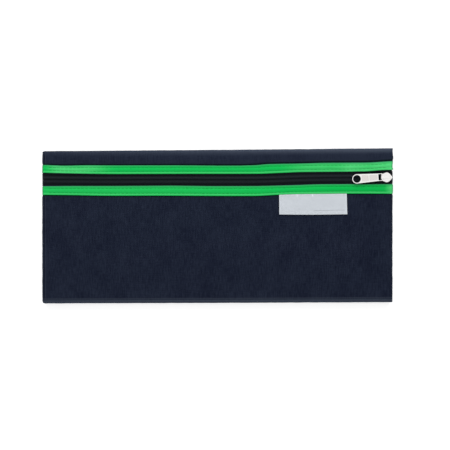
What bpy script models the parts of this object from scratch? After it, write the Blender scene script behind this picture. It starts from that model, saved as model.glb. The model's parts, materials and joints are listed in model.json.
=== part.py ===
"""A flat zip pencil bag, lying on its back with its front up.

Three cloth panels are seamed round the edge: a back, a front below the zip and a strip above it.
Two ribbons cover the raw edges of the panels along the zip, whose coils lie under its tapes.
The slider closes the mouth towards +X, and its pull lies back along the zip.
A cloth label hangs from the seam of the lower ribbon.

X runs along the zip, Y from the bottom seam to the top seam, Z out of the front.
The origin is under the middle of the bag, on the face it lies on. Every length is in metres.
"""

import math

import bmesh
import bpy
from mathutils import Matrix, Vector

# Outline of the bag and its cloth
BAG_LENGTH = 0.3498
BAG_WIDTH = 0.1527
PANEL_THICKNESS = 0.0007
POCKET_HEIGHT = 0.0048
CROWN_HEIGHT = 0.0014
LAYER_GAP = 0.0002
SEAM_GAP = 0.0003

# Zip, from its middle line outwards
ZIP_DROP = 0.02835
TAPE_HALF_WIDTH = 0.0130
TAPE_THICKNESS = 0.0005
TAPE_PARTING = 0.00025
TAPE_END_INSET = 0.0013
COIL_THICKNESS = 0.0013
COIL_HALF_WIDTH = 0.00275
COIL_END_INSET = 0.0026
TOOTH_PITCH = 0.00127
TOOTH_ROOT_WIDTH = 0.00035
TOOTH_TIP_WIDTH = 0.00070
TOOTH_FREE_TIP_WIDTH = 0.00050
TOOTH_ROOT_REACH = 0.00095
TOOTH_TIP_REACH = 0.00075

# Ribbons over the edges of the panels
RIBBON_INNER = 0.00615
UPPER_RIBBON_WIDTH = 0.0082
LOWER_RIBBON_WIDTH = 0.0096
RIBBON_THICKNESS = 0.0005
RIBBON_COVER = 0.0008

# Label under the lower ribbon
LABEL_WIDTH = 0.0685
LABEL_DROP = 0.0206
LABEL_SIDE_INSET = 0.0448
LABEL_THICKNESS = 0.0004
LABEL_GAP = 0.0003

# Slider
NOSE_INSET = 0.0003
NOSE_REACH = 0.0056
TAIL_REACH = 0.0064
SLIDER_HALF_WIDTH = 0.0050
SLIDER_GAP = 0.0003
BOTTOM_PLATE_THICKNESS = 0.0010
TOP_PLATE_THICKNESS = 0.0012
PLATE_ROUNDING = 0.00035
FLANGE_THICKNESS = 0.0012
FLANGE_LENGTH = 0.0036
POST_HALF_WIDTH = 0.0008
POST_LENGTH = 0.0038
PARTING_LENGTH = 0.0049
ROW_SPREAD = 0.0021
TAPE_SPREAD = 0.0010
JOIN_OVERLAP = 0.0003

# Cap over the crossbar of the pull
CAP_THICKNESS = 0.0006
CAP_TAIL_WIDTH = 0.0034
CAP_NOSE_WIDTH = 0.0015
CAP_ROUNDING = 0.00015
CROSSBAR_CLEARANCE = 0.0003

# Pull
PULL_THICKNESS = 0.0014
PULL_LENGTH = 0.0247
PULL_RING_RADIUS = 0.0053
PULL_HOLE_RADIUS = 0.0035
PULL_RING_HALF_WIDTH = 0.0049
PULL_BAR_HALF_WIDTH = 0.0043
PULL_SHOULDER = 0.0035
PULL_SHOULDER_LENGTH = 0.0010
PULL_EYE_HALF_WIDTH = 0.0038
PULL_EYE_CORNER = 0.0009
PULL_ROUNDING = 0.00025
CROSSBAR_WIDTH = 0.0012
EYE_LENGTH = 0.0022
EYE_HALF_WIDTH = 0.00283
EYE_CORNER = 0.0005
PANEL_BAND = 0.0016
SHORT_PANEL_LENGTH = 0.0068
LONG_PANEL_LENGTH = 0.0088
PANEL_RIB = 0.0004
PANEL_BORDER = 0.0013
PANEL_DEPTH = 0.0002
CUT_OVERRUN = 0.0010

# Angles and counts
PULL_TILT = math.radians(4.0)
ROLL_STEPS = 4
CROWN_STEPS_X = 24
CROWN_STEPS_Y = 12
STRIP_STEPS_X = 12
LABEL_STEPS_X = 6
LABEL_STEPS_Y = 4
PARTING_STEPS = 8
RING_STEPS = 28
CORNER_STEPS = 3
ROUNDING_STEPS = 2
SMOOTH_ANGLE = math.radians(35.0)
FLAT_ANGLE = math.radians(1.0)
WELD_DISTANCE = 0.00001

# How far the ribbons' ends turn into the side seams, as the sine of their lean there
RIBBON_END_LEAN_SHARE = 0.86
# Where the first tooth of the upper and the lower row stands, as shares of the pitch
UPPER_TOOTH_SHARE = 0.75
LOWER_TOOTH_SHARE = 0.25
# Half outline of the top plate: share of the reach behind or ahead of its widest place, share of its half width
SHIELD_SHARES = (
    (-1.00, 0.46),
    (-0.84, 0.60),
    (-0.68, 0.71),
    (-0.50, 0.79),
    (-0.30, 0.89),
    (-0.12, 0.98),
    (0.00, 1.00),
    (0.22, 0.95),
    (0.45, 0.78),
    (0.70, 0.50),
    (0.90, 0.22),
    (1.00, 0.06),
)
# Half outline of the bottom plate, in the same way
SOLE_SHARES = (
    (-1.00, 0.86),
    (-0.30, 0.90),
    (0.00, 0.96),
    (0.30, 0.84),
    (0.65, 0.48),
    (0.94, 0.10),
)
SOLE_REACH_SHARE = 0.94
# Where the post stands, as a share of the reach of the nose
POST_END_SHARE = 0.90
# The cap's top line: share of the reach, share of the cap's rise
CAP_NOSE_SHARES = ((0.90, 0.10), (0.62, 0.42), (0.25, 0.70), (-0.20, 0.86))
CAP_ARCH_FRONT_SHARE = -0.22

# Levels, from the face the bag lies on to the ribbons
COIL_LOW = PANEL_THICKNESS + POCKET_HEIGHT
COIL_HIGH = COIL_LOW + COIL_THICKNESS
TAPE_LOW = COIL_HIGH + LAYER_GAP
TAPE_HIGH = TAPE_LOW + TAPE_THICKNESS
PANEL_HIGH = TAPE_HIGH + LAYER_GAP + PANEL_THICKNESS
RIBBON_HIGH = PANEL_HIGH + LAYER_GAP + RIBBON_THICKNESS
SEAM_RADIUS = (PANEL_HIGH - SEAM_GAP) / 2.0
SEAM_LEVEL = SEAM_RADIUS + SEAM_GAP / 2.0
BOTTOM_PLATE_HIGH = COIL_LOW - SLIDER_GAP
BOTTOM_PLATE_LOW = BOTTOM_PLATE_HIGH - BOTTOM_PLATE_THICKNESS
TOP_PLATE_LOW = TAPE_HIGH + SLIDER_GAP
TOP_PLATE_HIGH = TOP_PLATE_LOW + TOP_PLATE_THICKNESS
FLANGE_HIGH = TAPE_LOW - SLIDER_GAP
PULL_LOW = max(RIBBON_HIGH, TOP_PLATE_HIGH) + SLIDER_GAP
PULL_LEVEL = PULL_LOW + PULL_THICKNESS / 2.0

# Places across and along the bag
HALF_LENGTH = BAG_LENGTH / 2.0
HALF_WIDTH = BAG_WIDTH / 2.0
FLAT_HALF_LENGTH = HALF_LENGTH - SEAM_RADIUS
FLAT_HALF_WIDTH = HALF_WIDTH - SEAM_RADIUS
ZIP_Y = HALF_WIDTH - ZIP_DROP
PANEL_EDGE = RIBBON_INNER + RIBBON_COVER
LOWER_RIBBON_EDGE = ZIP_Y - RIBBON_INNER - LOWER_RIBBON_WIDTH
LABEL_TOP = LOWER_RIBBON_EDGE - LABEL_GAP
LABEL_RIGHT = HALF_LENGTH - LABEL_SIDE_INSET
SLIDER_X = HALF_LENGTH - NOSE_INSET - NOSE_REACH
PARTING_START = SLIDER_X - TAIL_REACH + FLANGE_LENGTH
CROSSBAR_SWING = math.hypot(CROSSBAR_WIDTH, PULL_THICKNESS) / 2.0
CROSSBAR_X = SLIDER_X - TAIL_REACH + CAP_THICKNESS + CROSSBAR_SWING

# Colour, roughness, metallic
FINISHES = {
    "navy_cloth": ((0.013, 0.016, 0.031, 1.0), 0.85, 0.0),
    "green_ribbon": ((0.012, 0.440, 0.080, 1.0), 0.60, 0.0),
    "black_tape": ((0.010, 0.012, 0.015, 1.0), 0.80, 0.0),
    "black_coil": ((0.012, 0.013, 0.015, 1.0), 0.45, 0.0),
    "nickel": ((0.780, 0.760, 0.730, 1.0), 0.28, 1.0),
    "label_cloth": ((0.590, 0.630, 0.680, 1.0), 0.55, 0.0),
}


def clear_scene():
    """Remove whatever objects the file opened with."""
    for obj in list(bpy.data.objects):
        bpy.data.objects.remove(obj, do_unlink=True)


def new_collection(name):
    """A collection linked to the scene."""
    collection = bpy.data.collections.new(name)
    bpy.context.scene.collection.children.link(collection)
    return collection


def finish_material(name):
    """The Principled material of one finish."""
    found = bpy.data.materials.get(name)
    if found:
        return found
    colour, roughness, metallic = FINISHES[name]
    material = bpy.data.materials.new(name)
    material.use_nodes = True
    shader = material.node_tree.nodes["Principled BSDF"]
    shader.inputs["Base Color"].default_value = colour
    shader.inputs["Roughness"].default_value = roughness
    shader.inputs["Metallic"].default_value = metallic
    material.diffuse_color = colour
    return material


def smoothstep(share):
    """Ease from 0 to 1 over one unit."""
    held = min(max(share, 0.0), 1.0)
    return held * held * (3.0 - 2.0 * held)


def spread_at(x, amount):
    """How far the zip's two sides stand apart at x, on each side of the middle line."""
    return amount * smoothstep((x - PARTING_START) / PARTING_LENGTH)


def add_object(name, mesh, collection, finish=None):
    """Link a mesh as an object, with its finish and smooth shading on its round faces."""
    obj = bpy.data.objects.new(name, mesh)
    collection.objects.link(obj)
    if finish:
        mesh.materials.append(finish_material(finish))
    mesh.shade_smooth()
    mesh.set_sharp_from_angle(angle=SMOOTH_ANGLE)
    return obj


def hang_on(obj, empty):
    """Give an object made in world coordinates an origin at its joint."""
    obj.data.transform(Matrix.Translation(-empty.location))
    obj.parent = empty


def add_joint_empty(name, place, collection):
    """An empty on a joint's axis."""
    empty = bpy.data.objects.new(name, None)
    empty.location = place
    collection.objects.link(empty)
    return empty


def rows_between(low, high, count, lean_low=0.0, lean_high=0.0):
    """Rows of a skin patch in one direction, as pairs of flat place and lean.

    Lean is the sine of the roll's angle at a seamed edge: 0 on the flat, 1 at the seam.
    """
    rows = []
    if lean_low:
        turn = math.asin(lean_low)
        rows += [(low, -math.sin(turn * (1.0 - step / ROLL_STEPS))) for step in range(ROLL_STEPS)]
    rows += [(low + (high - low) * step / count, 0.0) for step in range(count + 1)]
    if lean_high:
        turn = math.asin(lean_high)
        rows += [(high, math.sin(turn * (step + 1.0) / ROLL_STEPS)) for step in range(ROLL_STEPS)]
    return rows


def front_crown(x, y):
    """How far the front panel swells above the plane of the zip."""
    share = (LOWER_RIBBON_EDGE - y) / (LOWER_RIBBON_EDGE + FLAT_HALF_WIDTH)
    if share <= 0.0:
        return 0.0
    return CROWN_HEIGHT * (1.0 - (x / FLAT_HALF_LENGTH) ** 2) * math.sin(math.pi * min(share, 1.0)) ** 2


def skin_point(across, up, lift, front):
    """A point on the bag's outer skin, or lifted off it, rolled down round at a seamed edge."""
    flat_x, lean_x = across
    flat_y, lean_y = up
    out_x = lean_x * math.sqrt(1.0 - lean_y**2 / 2.0)
    out_y = lean_y * math.sqrt(1.0 - lean_x**2 / 2.0)
    rise = math.sqrt(max(0.0, 1.0 - out_x**2 - out_y**2))
    reach = SEAM_RADIUS + lift
    if front:
        z = PANEL_HIGH - SEAM_RADIUS + reach * rise + front_crown(flat_x, flat_y)
    else:
        z = SEAM_RADIUS - reach * rise
    return Vector((flat_x + reach * out_x, flat_y + reach * out_y, z))


def make_skin(name, columns, rows, lift, thickness, finish, collection, front=True):
    """A patch of cloth over the bag's skin, as an open grid with Solidify inwards."""
    bm = bmesh.new()
    across = len(columns) - 1
    up = len(rows) - 1
    bmesh.ops.create_grid(bm, x_segments=across, y_segments=up, size=1.0)
    for vert in bm.verts:
        column = columns[round((vert.co.x + 1.0) / 2.0 * across)]
        row = rows[round((vert.co.y + 1.0) / 2.0 * up)]
        vert.co = skin_point(column, row, lift, front)
    mesh = bpy.data.meshes.new(name)
    bm.to_mesh(mesh)
    bm.free()
    obj = add_object(name, mesh, collection, finish)
    shell = obj.modifiers.new("thickness", "SOLIDIFY")
    shell.thickness = thickness
    shell.offset = -1.0 if front else 1.0
    return obj


def make_plate(name, loops, low, high, collection, finish=None):
    """A flat outline, with any holes in it, raised from low to high as a welded mesh."""
    curve = bpy.data.curves.new(name + "_outline", "CURVE")
    curve.dimensions = "2D"
    curve.fill_mode = "BOTH"
    curve.extrude = (high - low) / 2.0
    for loop in loops:
        spline = curve.splines.new("POLY")
        spline.points.add(len(loop) - 1)
        for point, (x, y) in zip(spline.points, loop):
            point.co = (x, y, 0.0, 1.0)
        spline.use_cyclic_u = True
    outline = bpy.data.objects.new(name + "_outline", curve)
    collection.objects.link(outline)
    outline.location.z = (high + low) / 2.0
    bpy.context.view_layer.update()
    evaluated = outline.evaluated_get(bpy.context.evaluated_depsgraph_get())
    mesh = bpy.data.meshes.new_from_object(evaluated)
    mesh.name = name
    mesh.transform(outline.matrix_world)
    bpy.data.objects.remove(outline, do_unlink=True)
    bm = bmesh.new()
    bm.from_mesh(mesh)
    bmesh.ops.remove_doubles(bm, verts=bm.verts, dist=WELD_DISTANCE)
    bmesh.ops.dissolve_limit(bm, angle_limit=FLAT_ANGLE, verts=bm.verts, edges=bm.edges)
    bmesh.ops.recalc_face_normals(bm, faces=bm.faces)
    bm.to_mesh(mesh)
    bm.free()
    mesh.materials.clear()
    return add_object(name, mesh, collection, finish)


def round_edges(obj, width):
    """Round an object's sharp edges."""
    bevel = obj.modifiers.new("rounding", "BEVEL")
    bevel.width = width
    bevel.segments = ROUNDING_STEPS
    bevel.limit_method = "ANGLE"
    bevel.angle_limit = SMOOTH_ANGLE


def combine(obj, tool, operation):
    """Join a hidden tool to an object, or cut it out."""
    tool.hide_render = True
    tool.display_type = "WIRE"
    boolean = obj.modifiers.new(tool.name, "BOOLEAN")
    boolean.operation = operation
    boolean.object = tool
    boolean.solver = "EXACT"


def both_halves(half):
    """A closed outline from its half on +Y, mirrored about the middle line."""
    return list(half) + [(x, -y) for x, y in reversed(half)]


def rounded_rectangle(x_low, x_high, half_width, corner):
    """A rectangle's outline about the X axis, with round corners."""
    points = []
    for x, y, turn in (
        (x_high - corner, half_width - corner, 0.0),
        (x_low + corner, half_width - corner, 0.5),
        (x_low + corner, corner - half_width, 1.0),
        (x_high - corner, corner - half_width, 1.5),
    ):
        for step in range(CORNER_STEPS + 1):
            angle = math.pi * (turn + 0.5 * step / CORNER_STEPS)
            points.append((x + corner * math.cos(angle), y + corner * math.sin(angle)))
    return points


def make_panels(parts, mouth):
    """The back, the front below the zip and the strip above it."""
    sides = rows_between(-FLAT_HALF_LENGTH, FLAT_HALF_LENGTH, 1, 1.0, 1.0)
    crown_sides = rows_between(-FLAT_HALF_LENGTH, FLAT_HALF_LENGTH, CROWN_STEPS_X, 1.0, 1.0)
    strip_sides = rows_between(-FLAT_HALF_LENGTH, FLAT_HALF_LENGTH, STRIP_STEPS_X, 1.0, 1.0)
    back = rows_between(-FLAT_HALF_WIDTH, FLAT_HALF_WIDTH, 1, 1.0, 1.0)
    front = rows_between(-FLAT_HALF_WIDTH, ZIP_Y - PANEL_EDGE, CROWN_STEPS_Y, 1.0, 0.0)
    strip = rows_between(ZIP_Y + PANEL_EDGE, FLAT_HALF_WIDTH, 1, 0.0, 1.0)
    make_skin("back_panel", sides, back, 0.0, PANEL_THICKNESS, "navy_cloth", parts, front=False)
    make_skin("front_panel", crown_sides, front, 0.0, PANEL_THICKNESS, "navy_cloth", parts)
    hang_on(make_skin("top_panel", strip_sides, strip, 0.0, PANEL_THICKNESS, "navy_cloth", parts), mouth)


def make_ribbons(parts, mouth):
    """The two ribbons over the panels' edges, rolled into the side seams."""
    length = rows_between(
        -FLAT_HALF_LENGTH, FLAT_HALF_LENGTH, STRIP_STEPS_X, RIBBON_END_LEAN_SHARE, RIBBON_END_LEAN_SHARE
    )
    lift = LAYER_GAP + RIBBON_THICKNESS
    upper = rows_between(ZIP_Y + RIBBON_INNER, ZIP_Y + RIBBON_INNER + UPPER_RIBBON_WIDTH, 1)
    lower = rows_between(LOWER_RIBBON_EDGE, ZIP_Y - RIBBON_INNER, 1)
    hang_on(make_skin("ribbon_upper", length, upper, lift, RIBBON_THICKNESS, "green_ribbon", parts), mouth)
    make_skin("ribbon_lower", length, lower, lift, RIBBON_THICKNESS, "green_ribbon", parts)


def make_label(parts, hinge):
    """The label, following the front panel's swell below the ribbon."""
    columns = rows_between(LABEL_RIGHT - LABEL_WIDTH, LABEL_RIGHT, LABEL_STEPS_X)
    rows = rows_between(LABEL_TOP - LABEL_DROP, LABEL_TOP, LABEL_STEPS_Y)
    lift = LAYER_GAP + LABEL_THICKNESS
    label = make_skin("name_label", columns, rows, lift, LABEL_THICKNESS, "label_cloth", parts)
    hang_on(label, hinge)


def tape_outline(side):
    """One zip tape: straight, but for the notch that clears the slider's post.

    Where the panels roll down into the side seams, only its middle runs on to the seam.
    """
    end = HALF_LENGTH - TAPE_END_INSET
    tab = RIBBON_INNER - SEAM_GAP
    points = [(-end, TAPE_PARTING)]
    for step in range(PARTING_STEPS + 1):
        x = PARTING_START + PARTING_LENGTH * step / PARTING_STEPS
        points.append((x, TAPE_PARTING + spread_at(x, TAPE_SPREAD)))
    points += [
        (end, TAPE_PARTING + TAPE_SPREAD),
        (end, tab),
        (FLAT_HALF_LENGTH, tab),
        (FLAT_HALF_LENGTH, TAPE_HALF_WIDTH),
        (-FLAT_HALF_LENGTH, TAPE_HALF_WIDTH),
        (-FLAT_HALF_LENGTH, tab),
        (-end, tab),
    ]
    return [(x, ZIP_Y + side * y) for x, y in points]


def coil_outline(side):
    """One row of the zip: a spine with a tooth at every pitch, set half a pitch from the other row.

    Each tooth is wider at its tip than at its root, so the two rows hook into each other.
    In the slider, where the rows part, the tips are seen end on and are narrower.
    """
    end = HALF_LENGTH - COIL_END_INSET
    first = TOOTH_PITCH * (UPPER_TOOTH_SHARE if side > 0 else LOWER_TOOTH_SHARE)
    count = int((2.0 * end - first) / TOOTH_PITCH)
    points = [(-end, TOOTH_ROOT_REACH)]
    for tooth in range(count):
        x = -end + first + tooth * TOOTH_PITCH
        parted = spread_at(x + TOOTH_PITCH, ROW_SPREAD) > 0.0
        tip = (TOOTH_FREE_TIP_WIDTH if parted else TOOTH_TIP_WIDTH) / 2.0
        root = TOOTH_ROOT_WIDTH / 2.0
        points += [
            (x - root, TOOTH_ROOT_REACH),
            (x - tip, -TOOTH_TIP_REACH),
            (x + tip, -TOOTH_TIP_REACH),
            (x + root, TOOTH_ROOT_REACH),
        ]
    points.append((end, TOOTH_ROOT_REACH))
    for step in range(PARTING_STEPS + 1):
        x = end + (PARTING_START - end) * step / PARTING_STEPS
        points.append((x, COIL_HALF_WIDTH))
    points.append((-end, COIL_HALF_WIDTH))
    return [(x, ZIP_Y + side * (y + spread_at(x, ROW_SPREAD))) for x, y in points]


def make_zip(parts, mouth):
    """The two tapes, and under them the two rows of teeth."""
    for name, side in (("upper", 1.0), ("lower", -1.0)):
        tape = make_plate(
            "zip_tape_" + name, [tape_outline(side)], TAPE_LOW, TAPE_HIGH, parts, "black_tape"
        )
        coil = make_plate(
            "zip_coil_" + name, [coil_outline(side)], COIL_LOW, COIL_HIGH, parts, "black_coil"
        )
        if side > 0:
            hang_on(tape, mouth)
            hang_on(coil, mouth)


def slider_outline(shares, tail_share, nose_share):
    """A plate of the slider from a table of shares of its reach and half width."""
    half = []
    for along, across in shares:
        reach = NOSE_REACH * nose_share if along > 0.0 else TAIL_REACH * tail_share
        half.append((SLIDER_X + along * reach, across * SLIDER_HALF_WIDTH))
    return [(x, ZIP_Y + y) for x, y in both_halves(half)]


def make_slider_body(parts, tools, travel):
    """Two plates held apart by the post between the rows, with a flange beside each row."""
    shield = slider_outline(SHIELD_SHARES, 1.0, 1.0)
    body = make_plate("slider_body", [shield], TOP_PLATE_LOW, TOP_PLATE_HIGH, parts, "nickel")
    round_edges(body, PLATE_ROUNDING)
    sole = make_plate(
        "slider_sole",
        [slider_outline(SOLE_SHARES, SOLE_REACH_SHARE, SOLE_REACH_SHARE)],
        BOTTOM_PLATE_LOW,
        BOTTOM_PLATE_HIGH,
        tools,
    )
    post_end = SLIDER_X + NOSE_REACH * POST_END_SHARE
    post_half = [
        (post_end - POST_LENGTH, 0.0),
        (post_end - POST_LENGTH / 2.0, POST_HALF_WIDTH),
        (post_end, POST_HALF_WIDTH / 2.0),
    ]
    post = make_plate(
        "slider_post",
        [[(x, ZIP_Y + y) for x, y in both_halves(post_half)[:-1]]],
        BOTTOM_PLATE_HIGH - JOIN_OVERLAP,
        TOP_PLATE_LOW + JOIN_OVERLAP,
        tools,
    )
    flange_inner = COIL_HALF_WIDTH + SLIDER_GAP
    flange_start = SLIDER_X - TAIL_REACH * SOLE_REACH_SHARE
    for name, side in (("upper", 1.0), ("lower", -1.0)):
        near = ZIP_Y + side * flange_inner
        far = ZIP_Y + side * (flange_inner + FLANGE_THICKNESS)
        corners = [
            (flange_start, near),
            (PARTING_START, near),
            (PARTING_START, far),
            (flange_start, far),
        ]
        flange = make_plate(
            "slider_flange_" + name,
            [corners],
            BOTTOM_PLATE_HIGH - JOIN_OVERLAP,
            FLANGE_HIGH,
            tools,
        )
        combine(body, flange, "UNION")
    combine(body, post, "UNION")
    combine(body, sole, "UNION")
    hang_on(body, travel)


def make_slider_cap(parts, travel):
    """The arched cap that holds the crossbar of the pull down on the top plate."""
    base = TOP_PLATE_HIGH + SLIDER_GAP
    arch_high = PULL_LEVEL + CROSSBAR_SWING + CROSSBAR_CLEARANCE
    cap_high = arch_high + CAP_THICKNESS
    tail = CROSSBAR_X - CROSSBAR_SWING - CROSSBAR_CLEARANCE
    arch_front = SLIDER_X + TAIL_REACH * CAP_ARCH_FRONT_SHARE
    arch_middle = (tail + arch_front) / 2.0
    profile = [(SLIDER_X + NOSE_REACH * CAP_NOSE_SHARES[0][0], base)]
    for along, up in CAP_NOSE_SHARES:
        profile.append((SLIDER_X + NOSE_REACH * along, base + (cap_high - base) * up))
    profile += [
        (arch_middle, cap_high),
        (tail, cap_high),
        (tail - CAP_THICKNESS, cap_high - CAP_THICKNESS),
        (tail - CAP_THICKNESS, base),
        (tail, base),
        (tail, arch_high),
        (arch_middle, arch_high),
        (arch_front, base),
    ]
    half = CAP_TAIL_WIDTH / 2.0
    cap = make_plate("slider_cap", [profile], -half, half, parts, "nickel")
    start = SLIDER_X - TAIL_REACH
    run = NOSE_REACH + TAIL_REACH
    narrowing = 1.0 - CAP_NOSE_WIDTH / CAP_TAIL_WIDTH
    for vert in cap.data.vertices:
        x, z, y = vert.co
        taper = 1.0 - narrowing * smoothstep((x - start) / run)
        vert.co = (x, ZIP_Y - y * taper, z)
    round_edges(cap, CAP_ROUNDING)
    hang_on(cap, travel)


def pull_outline():
    """The pull's outline about its crossbar: a ring at -X, a tapered bar, and a narrower eye beyond shoulders."""
    meet = math.asin(PULL_RING_HALF_WIDTH / PULL_RING_RADIUS)
    points = []
    for step in range(RING_STEPS + 1):
        angle = meet + (2.0 * math.pi - 2.0 * meet) * step / RING_STEPS
        points.append(
            (PULL_RING_RADIUS * math.cos(angle) - PULL_LENGTH, PULL_RING_RADIUS * math.sin(angle))
        )
    end = CROSSBAR_WIDTH / 2.0
    shoulder = -PULL_SHOULDER
    bar_end = shoulder - PULL_SHOULDER_LENGTH
    points += [(bar_end, -PULL_BAR_HALF_WIDTH), (shoulder, -PULL_EYE_HALF_WIDTH)]
    for side, first in ((-1.0, -0.5), (1.0, 0.0)):
        for step in range(CORNER_STEPS + 1):
            angle = math.pi * (first + 0.5 * step / CORNER_STEPS)
            x = end - PULL_EYE_CORNER + PULL_EYE_CORNER * math.cos(angle)
            y = side * (PULL_EYE_HALF_WIDTH - PULL_EYE_CORNER) + PULL_EYE_CORNER * math.sin(angle)
            points.append((x, y))
    points += [(shoulder, PULL_EYE_HALF_WIDTH), (bar_end, PULL_BAR_HALF_WIDTH)]
    return points


def make_pull(parts, tools, swing):
    """The pull: ring, recessed face and the eye that holds the crossbar."""
    hole = []
    for step in range(RING_STEPS):
        angle = 2.0 * math.pi * step / RING_STEPS
        hole.append((PULL_HOLE_RADIUS * math.cos(angle) - PULL_LENGTH, PULL_HOLE_RADIUS * math.sin(angle)))
    eye_near = -CROSSBAR_WIDTH / 2.0
    eye_far = eye_near - EYE_LENGTH
    eye = rounded_rectangle(eye_far, eye_near, EYE_HALF_WIDTH, EYE_CORNER)
    low = -PULL_THICKNESS / 2.0
    high = PULL_THICKNESS / 2.0
    pull = make_plate("pull_tab", [pull_outline(), hole, eye], low, high, parts, "nickel")
    round_edges(pull, PULL_ROUNDING)
    panel_end = eye_far - PANEL_BAND
    for name, length in (("long", LONG_PANEL_LENGTH), ("short", SHORT_PANEL_LENGTH)):
        panel_start = panel_end - length
        recess = make_plate(
            "pull_recess_" + name,
            [rounded_rectangle(panel_start, panel_end, PULL_BAR_HALF_WIDTH - PANEL_BORDER, EYE_CORNER)],
            high - PANEL_DEPTH,
            high + CUT_OVERRUN,
            tools,
        )
        recess.parent = swing
        combine(pull, recess, "DIFFERENCE")
        panel_end = panel_start - PANEL_RIB
    pull.parent = swing


def build():
    """Make the bag."""
    clear_scene()
    parts = new_collection("pencil_bag")
    tools = new_collection("cutters")
    mouth = add_joint_empty("mouth_axis", Vector((0.0, HALF_WIDTH, SEAM_LEVEL)), parts)
    label_hinge = add_joint_empty(
        "label_axis",
        Vector((LABEL_RIGHT - LABEL_WIDTH / 2.0, LABEL_TOP, PANEL_HIGH + LAYER_GAP + LABEL_THICKNESS / 2.0)),
        parts,
    )
    travel = add_joint_empty("slider_axis", Vector((SLIDER_X, ZIP_Y, TAPE_HIGH)), parts)
    swing = add_joint_empty("pull_axis", Vector((CROSSBAR_X, ZIP_Y, PULL_LEVEL)), parts)
    swing.rotation_euler.z = PULL_TILT
    make_panels(parts, mouth)
    make_ribbons(parts, mouth)
    make_zip(parts, mouth)
    make_label(parts, label_hinge)
    make_slider_body(parts, tools, travel)
    make_slider_cap(parts, travel)
    make_pull(parts, tools, swing)
    bpy.context.view_layer.update()


build()
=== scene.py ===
"""Dresses the flat zip pencil bag: its cloth, ribbons, zip, label, metal and the stage it lies on.

X runs along the zip, Y from the bottom seam to the top seam, Z out of the front. Lengths are in metres.
Laid out as an add-on, it is run as a script.
"""

import json
import math

import bpy
import numpy as np
from bpy.props import FloatProperty, FloatVectorProperty, IntProperty, PointerProperty
from mathutils import Matrix, Vector, noise
from mathutils.geometry import tessellate_polygon


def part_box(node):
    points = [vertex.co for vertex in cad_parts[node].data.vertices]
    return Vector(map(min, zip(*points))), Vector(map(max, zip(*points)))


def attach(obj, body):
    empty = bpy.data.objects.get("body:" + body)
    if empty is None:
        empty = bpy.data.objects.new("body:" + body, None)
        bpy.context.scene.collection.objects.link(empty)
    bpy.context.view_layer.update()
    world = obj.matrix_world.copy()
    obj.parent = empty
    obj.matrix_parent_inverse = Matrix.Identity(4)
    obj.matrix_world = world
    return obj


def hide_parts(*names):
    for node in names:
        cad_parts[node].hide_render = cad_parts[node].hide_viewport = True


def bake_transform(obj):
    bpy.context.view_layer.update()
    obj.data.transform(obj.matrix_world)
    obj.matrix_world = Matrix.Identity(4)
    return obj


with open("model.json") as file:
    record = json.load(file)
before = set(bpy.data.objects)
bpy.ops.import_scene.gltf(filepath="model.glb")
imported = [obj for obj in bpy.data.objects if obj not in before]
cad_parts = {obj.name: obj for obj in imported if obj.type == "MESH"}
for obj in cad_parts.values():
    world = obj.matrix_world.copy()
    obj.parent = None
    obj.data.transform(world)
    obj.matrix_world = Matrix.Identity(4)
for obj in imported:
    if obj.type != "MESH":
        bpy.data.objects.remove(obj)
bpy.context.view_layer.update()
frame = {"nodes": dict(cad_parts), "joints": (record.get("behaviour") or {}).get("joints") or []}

bl_info = {
    "name": "Pencil bag looks",
    "version": (1, 0, 0),
    "blender": (4, 5, 0),
    "location": "View3D > Sidebar > Pencil bag",
    "description": "Dresses a flat zip pencil bag and sets its stage",
    "category": "Add Mesh",
}

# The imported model's own sizes
BACK_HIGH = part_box("back_panel")[1]
FRONT_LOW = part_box("front_panel")[0]
STRIP_LOW, STRIP_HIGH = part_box("top_panel")
UPPER_LOW, UPPER_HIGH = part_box("ribbon_upper")
LOWER_LOW, LOWER_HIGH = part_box("ribbon_lower")
TAPE_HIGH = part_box("zip_tape_upper")[1]
COIL_LOW, COIL_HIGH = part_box("zip_coil_upper")
LABEL_LOW, LABEL_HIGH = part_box("name_label")
PULL_LOW, PULL_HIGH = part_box("pull_tab")
SWING = next(joint for joint in frame["joints"] if joint["name"] == "pull_swing")
CROSSBAR = Vector(SWING["pos_m"])
PULL_TURN = math.atan2(-SWING["axis"][0], SWING["axis"][1])

HALF_LENGTH = BACK_HIGH.x
HALF_WIDTH = BACK_HIGH.y
SEAM_LEVEL = (BACK_HIGH.z + FRONT_LOW.z) / 2
SKIN_LEVEL = STRIP_HIGH.z
ZIP_Y = (UPPER_LOW.y + LOWER_HIGH.y) / 2
RIBBON_INNER = UPPER_LOW.y - ZIP_Y
RIBBON_WIDTH = {1: UPPER_HIGH.y - UPPER_LOW.y, -1: LOWER_HIGH.y - LOWER_LOW.y}
CLOTH_EDGE = STRIP_LOW.y - ZIP_Y

CLOTH_PLACE = "cloth_place"
TURN = 2 * math.pi


def length(name, description, default):
    """A size in metres."""
    return FloatProperty(name=name, description=description, default=default, unit="LENGTH", precision=5)


def share(name, description, default):
    """A number without a unit."""
    return FloatProperty(name=name, description=description, default=default, precision=3)


def colour(name, description, default):
    """A linear colour."""
    return FloatVectorProperty(
        name=name, description=description, default=default, subtype="COLOR", min=0, max=1
    )


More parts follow.
